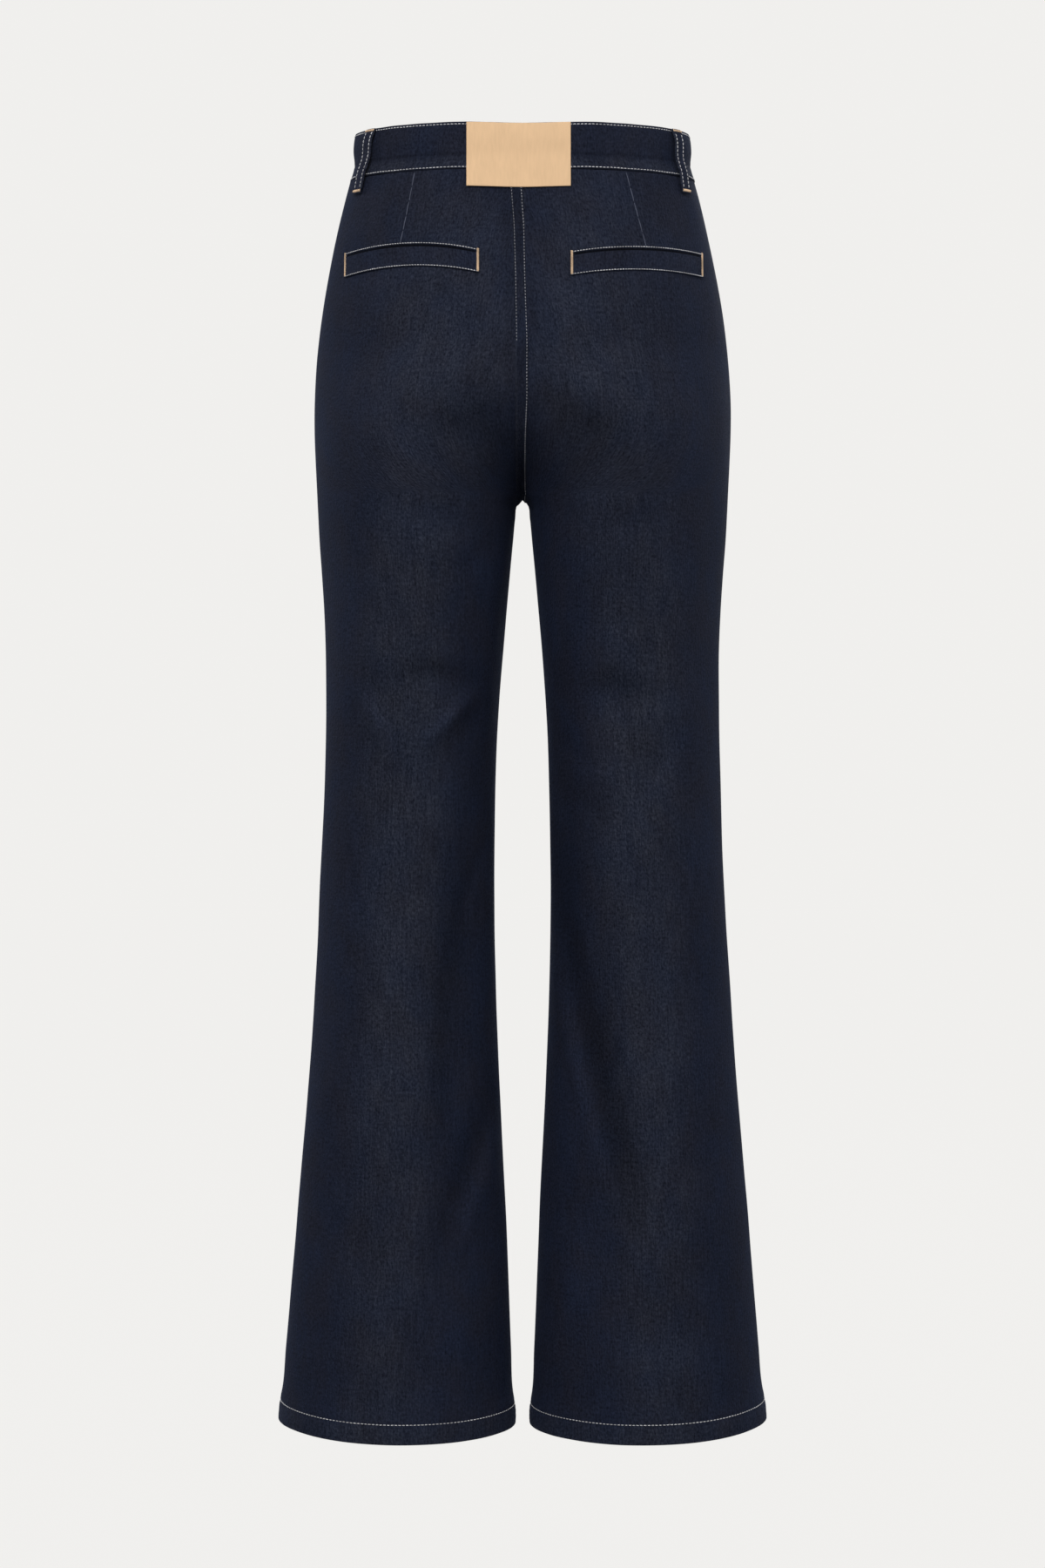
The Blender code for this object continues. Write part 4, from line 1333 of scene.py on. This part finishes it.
class JEANS_OT_sewing(bpy.types.Operator):
    """Sews every row of topstitching and every bartack onto the cloth"""

    bl_idname = "jeans.sewing"
    bl_label = "Sewing"

    def execute(self, context):
        trim = context.scene.jeans_trim
        self.pale, self.grey, self.bars = Sewing(), Sewing(), Sewing()
        self.band_rows()
        self.seat_rows()
        self.leg_rows()
        self.welt_rows()
        self.loop_rows()
        self.fly_rows()
        self.buttonhole()
        self.pale.make("sewing_pale", thread_material("thread_pale", trim.pale_thread))
        self.grey.make("sewing_grey", thread_material("thread_grey", trim.grey_thread))
        self.bars.make("sewing_bartacks", thread_material("thread_bartack", trim.bartack_thread))
        self.darts()
        return {"FINISHED"}

    def band_rows(self):
        """The rows along the waistband's upper edge, above its seam and down its lapped end."""
        for side in SIDES:
            sheet = SHEETS[f"waistband_{side}"]
            self.pale.row(sheet.row_line(BAND_EDGE_ROW))
            self.pale.row(sheet.row_line(BAND_SEAM_ROW, from_bottom=True))
        lapped = SHEETS["waistband_left"]
        ends = {"top": BAND_EDGE_ROW, "bottom": BAND_SEAM_ROW}
        self.pale.row(lapped.column_line(EDGE_ROW, from_outer=True, **ends))

    def seat_rows(self):
        """The two rows of each felled rise seam."""
        seat, rise = SHEETS["back_fell"], SHEETS["front_fell"]
        length = seat.down[-1].mean()
        left_row_end = length - SEAT_LEFT_ROW_END + BAND_SEAM_DROP
        right_row = seat.column_line(FELL_MARGIN, from_outer=True)
        left_row = seat.column_line(FELL_MARGIN, bottom=left_row_end)
        for line, width in ((right_row, SEAT_RIGHT_STITCH), (left_row, SEAT_LEFT_STITCH)):
            self.grey.row(line, SEAT_STITCH_PITCH, width, SEAT_STITCH_SHARE)
        for outer in (False, True):
            self.grey.row(rise.column_line(FELL_MARGIN, outer, top=RISE_ROWS_START))

    def leg_rows(self):
        """The row round each hem and the two rows along each front pocket's opening."""
        for side in SIDES:
            for part in ("back", "front"):
                self.pale.row(SHEETS[f"{part}_{side}"].row_line(HEM_ROW_RISE, from_bottom=True))
            front = SHEETS[f"front_{side}"]
            below = front.down[-1].mean() - POCKET_DROP + BAND_SEAM_DROP
            rows = [front.column_line(reach, from_outer=True, bottom=below) for reach in POCKET_ROWS]
            for row in rows:
                self.pale.row(row)
            self.bars.bar([row[-1] for row in rows], POCKET_BAR_REACH)

    def welt_rows(self):
        """The rows along both long edges of each welt, and a bar at each end."""
        for side in SIDES:
            sheet = SHEETS[f"pocket_welt_{side}"]
            for from_bottom in (False, True):
                self.pale.row(sheet.row_line(WELT_ROW, from_bottom), WELT_STITCH_PITCH)
            for outer in (False, True):
                self.bars.bar(sheet.column_line(WELT_BAR, outer, bottom=WELT_BAR), WELT_BAR_REACH)

    def loop_rows(self):
        """Two rows along each belt loop and a bar across its head and foot."""
        for side in SIDES:
            for place in ("back", "front"):
                sheet = SHEETS[f"belt_loop_{place}_{side}"]
                for outer in (False, True):
                    self.pale.row(sheet.column_line(EDGE_ROW, outer, top=LOOP_ROW_END, bottom=LOOP_ROW_END))
                self.bars.bar(sheet.row_line(LOOP_FOOT_BAR, from_bottom=True), LOOP_FOOT_BAR)
                self.bars.bar(sheet.row_line(LOOP_HEAD_BAR), LOOP_HEAD_BAR)

    def buttonhole(self):
        """The close stitches round the buttonhole's slit, on the lapped end of the waistband."""
        band = Surface("waistband_left")
        low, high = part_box("waist_button")
        drop = -(low.z + high.z) / 2
        for side in (-1, 1):
            height = drop + side * BUTTONHOLE_HALF
            route = [(x, height) for x in BUTTONHOLE_REACH]
            self.pale.bar(band.lay(route, FRONT, 12), BUTTONHOLE_STITCH)
        for x in BUTTONHOLE_REACH:
            ends = [(x, drop + side * 2 * BUTTONHOLE_HALF) for side in (-1, 1)]
            self.pale.bar(band.lay(ends, FRONT, 5), BUTTONHOLE_STITCH)

    def fly_rows(self):
        """The two rows that turn the fly's J."""
        sheet = SHEETS["fly"]
        for reach in FLY_ROWS:
            self.pale.row(sheet.column_line(reach, from_outer=True))

    def darts(self):
        """Each dart's fold, between the waistband and a back pocket, coloured as a painted highlight."""
        seat = Surface("back_left", "back_right")
        fold = Sewing()
        for route in DARTS:
            fold.row(seat.lay(route, BACK), pitch=DART_PITCH, share=DART_SHARE)
        # The fold's lighter colour is a painted highlight.
        rubbed = thread_material("denim_rubbed", bpy.context.scene.jeans_cloth.rubbed)
        fold.make("dart_folds", rubbed)


class JEANS_OT_stage(bpy.types.Operator):
    """Makes the pale floor, the background, the soft lights and the camera"""

    bl_idname = "jeans.stage"
    bl_label = "Stage"

    def execute(self, context):
        look = context.scene.jeans_stage
        material = stage_material(look.colour)
        bpy.ops.object.select_all(action="DESELECT")
        floor_place = (0, 0, CAD_BOX[0].z - look.floor_gap)
        bpy.ops.mesh.primitive_circle_add(
            vertices=96, radius=FLOOR_RADIUS, fill_type="NGON", location=floor_place
        )
        self.add_to_stage("stage_floor", material)
        bpy.ops.object.select_all(action="DESELECT")
        bpy.ops.mesh.primitive_uv_sphere_add(segments=64, ring_count=32, radius=BACKDROP_RADIUS)
        self.add_to_stage("stage_backdrop", material)
        world = bpy.data.worlds.new("studio")
        world.use_nodes = True
        world.node_tree.nodes["Background"].inputs["Color"].default_value = (*[look.ambience] * 3, 1.0)
        context.scene.world = world
        for light in LIGHTS:
            self.add_light(light, getattr(look, light.power) * light.share)
        level = math.pi / 2
        bpy.ops.object.camera_add(location=CAMERA_PLACE, rotation=(level - CAMERA_PITCH, 0, 0))
        camera = context.object
        camera.name = "camera"
        camera.data.sensor_width = SENSOR
        camera.data.lens = SENSOR * FOCAL_PIXELS / PHOTO_HEIGHT
        context.scene.camera = camera
        context.scene.view_settings.view_transform = "Standard"
        return {"FINISHED"}

    def add_to_stage(self, name, material):
        """Names the new object and makes it a stage that only the camera sees."""
        thing = bpy.context.object
        thing.name = name
        thing.data.materials.append(material)
        thing.visible_diffuse = False
        thing.visible_glossy = False
        thing.visible_shadow = False

    def add_light(self, light, power):
        """A square soft light aimed at the garment's middle."""
        turn = (LIGHT_AIM - Vector(light.place)).to_track_quat("-Z", "Y").to_euler()
        bpy.ops.object.light_add(type="AREA", location=light.place, rotation=turn)
        lamp = bpy.context.object
        lamp.name = light.name
        lamp.data.size = light.width
        lamp.data.energy = power


class JEANS_PT_sidebar(bpy.types.Panel):
    """Lists the jeans' pieces and their settings"""

    bl_label = "Bootcut Jeans"
    bl_idname = "JEANS_PT_sidebar"
    bl_space_type = "VIEW_3D"
    bl_region_type = "UI"
    bl_category = "Jeans"

    def draw(self, context):
        for operator in OPERATORS:
            self.layout.operator(operator.bl_idname)
        for group, place in GROUPS.items():
            box = self.layout.box()
            for name in group.__annotations__:
                box.prop(getattr(context.scene, place), name)


OPERATORS = (
    JEANS_OT_panels, JEANS_OT_waistband, JEANS_OT_trims, JEANS_OT_button, JEANS_OT_sewing, JEANS_OT_stage,
)
GROUPS = {JeansCloth: "jeans_cloth", JeansTrim: "jeans_trim", JeansStage: "jeans_stage"}


def register():
    for group, place in GROUPS.items():
        bpy.utils.register_class(group)
        setattr(bpy.types.Scene, place, PointerProperty(type=group))
    for cls in (*OPERATORS, JEANS_PT_sidebar):
        bpy.utils.register_class(cls)


def unregister():
    for cls in (JEANS_PT_sidebar, *reversed(OPERATORS)):
        bpy.utils.unregister_class(cls)
    for group, place in GROUPS.items():
        delattr(bpy.types.Scene, place)
        bpy.utils.unregister_class(group)


def main():
    register()
    bpy.ops.jeans.panels()
    bpy.ops.jeans.waistband()
    bpy.ops.jeans.trims()
    bpy.ops.jeans.button()
    bpy.ops.jeans.sewing()
    bpy.ops.jeans.stage()


if __name__ == "__main__":
    main()
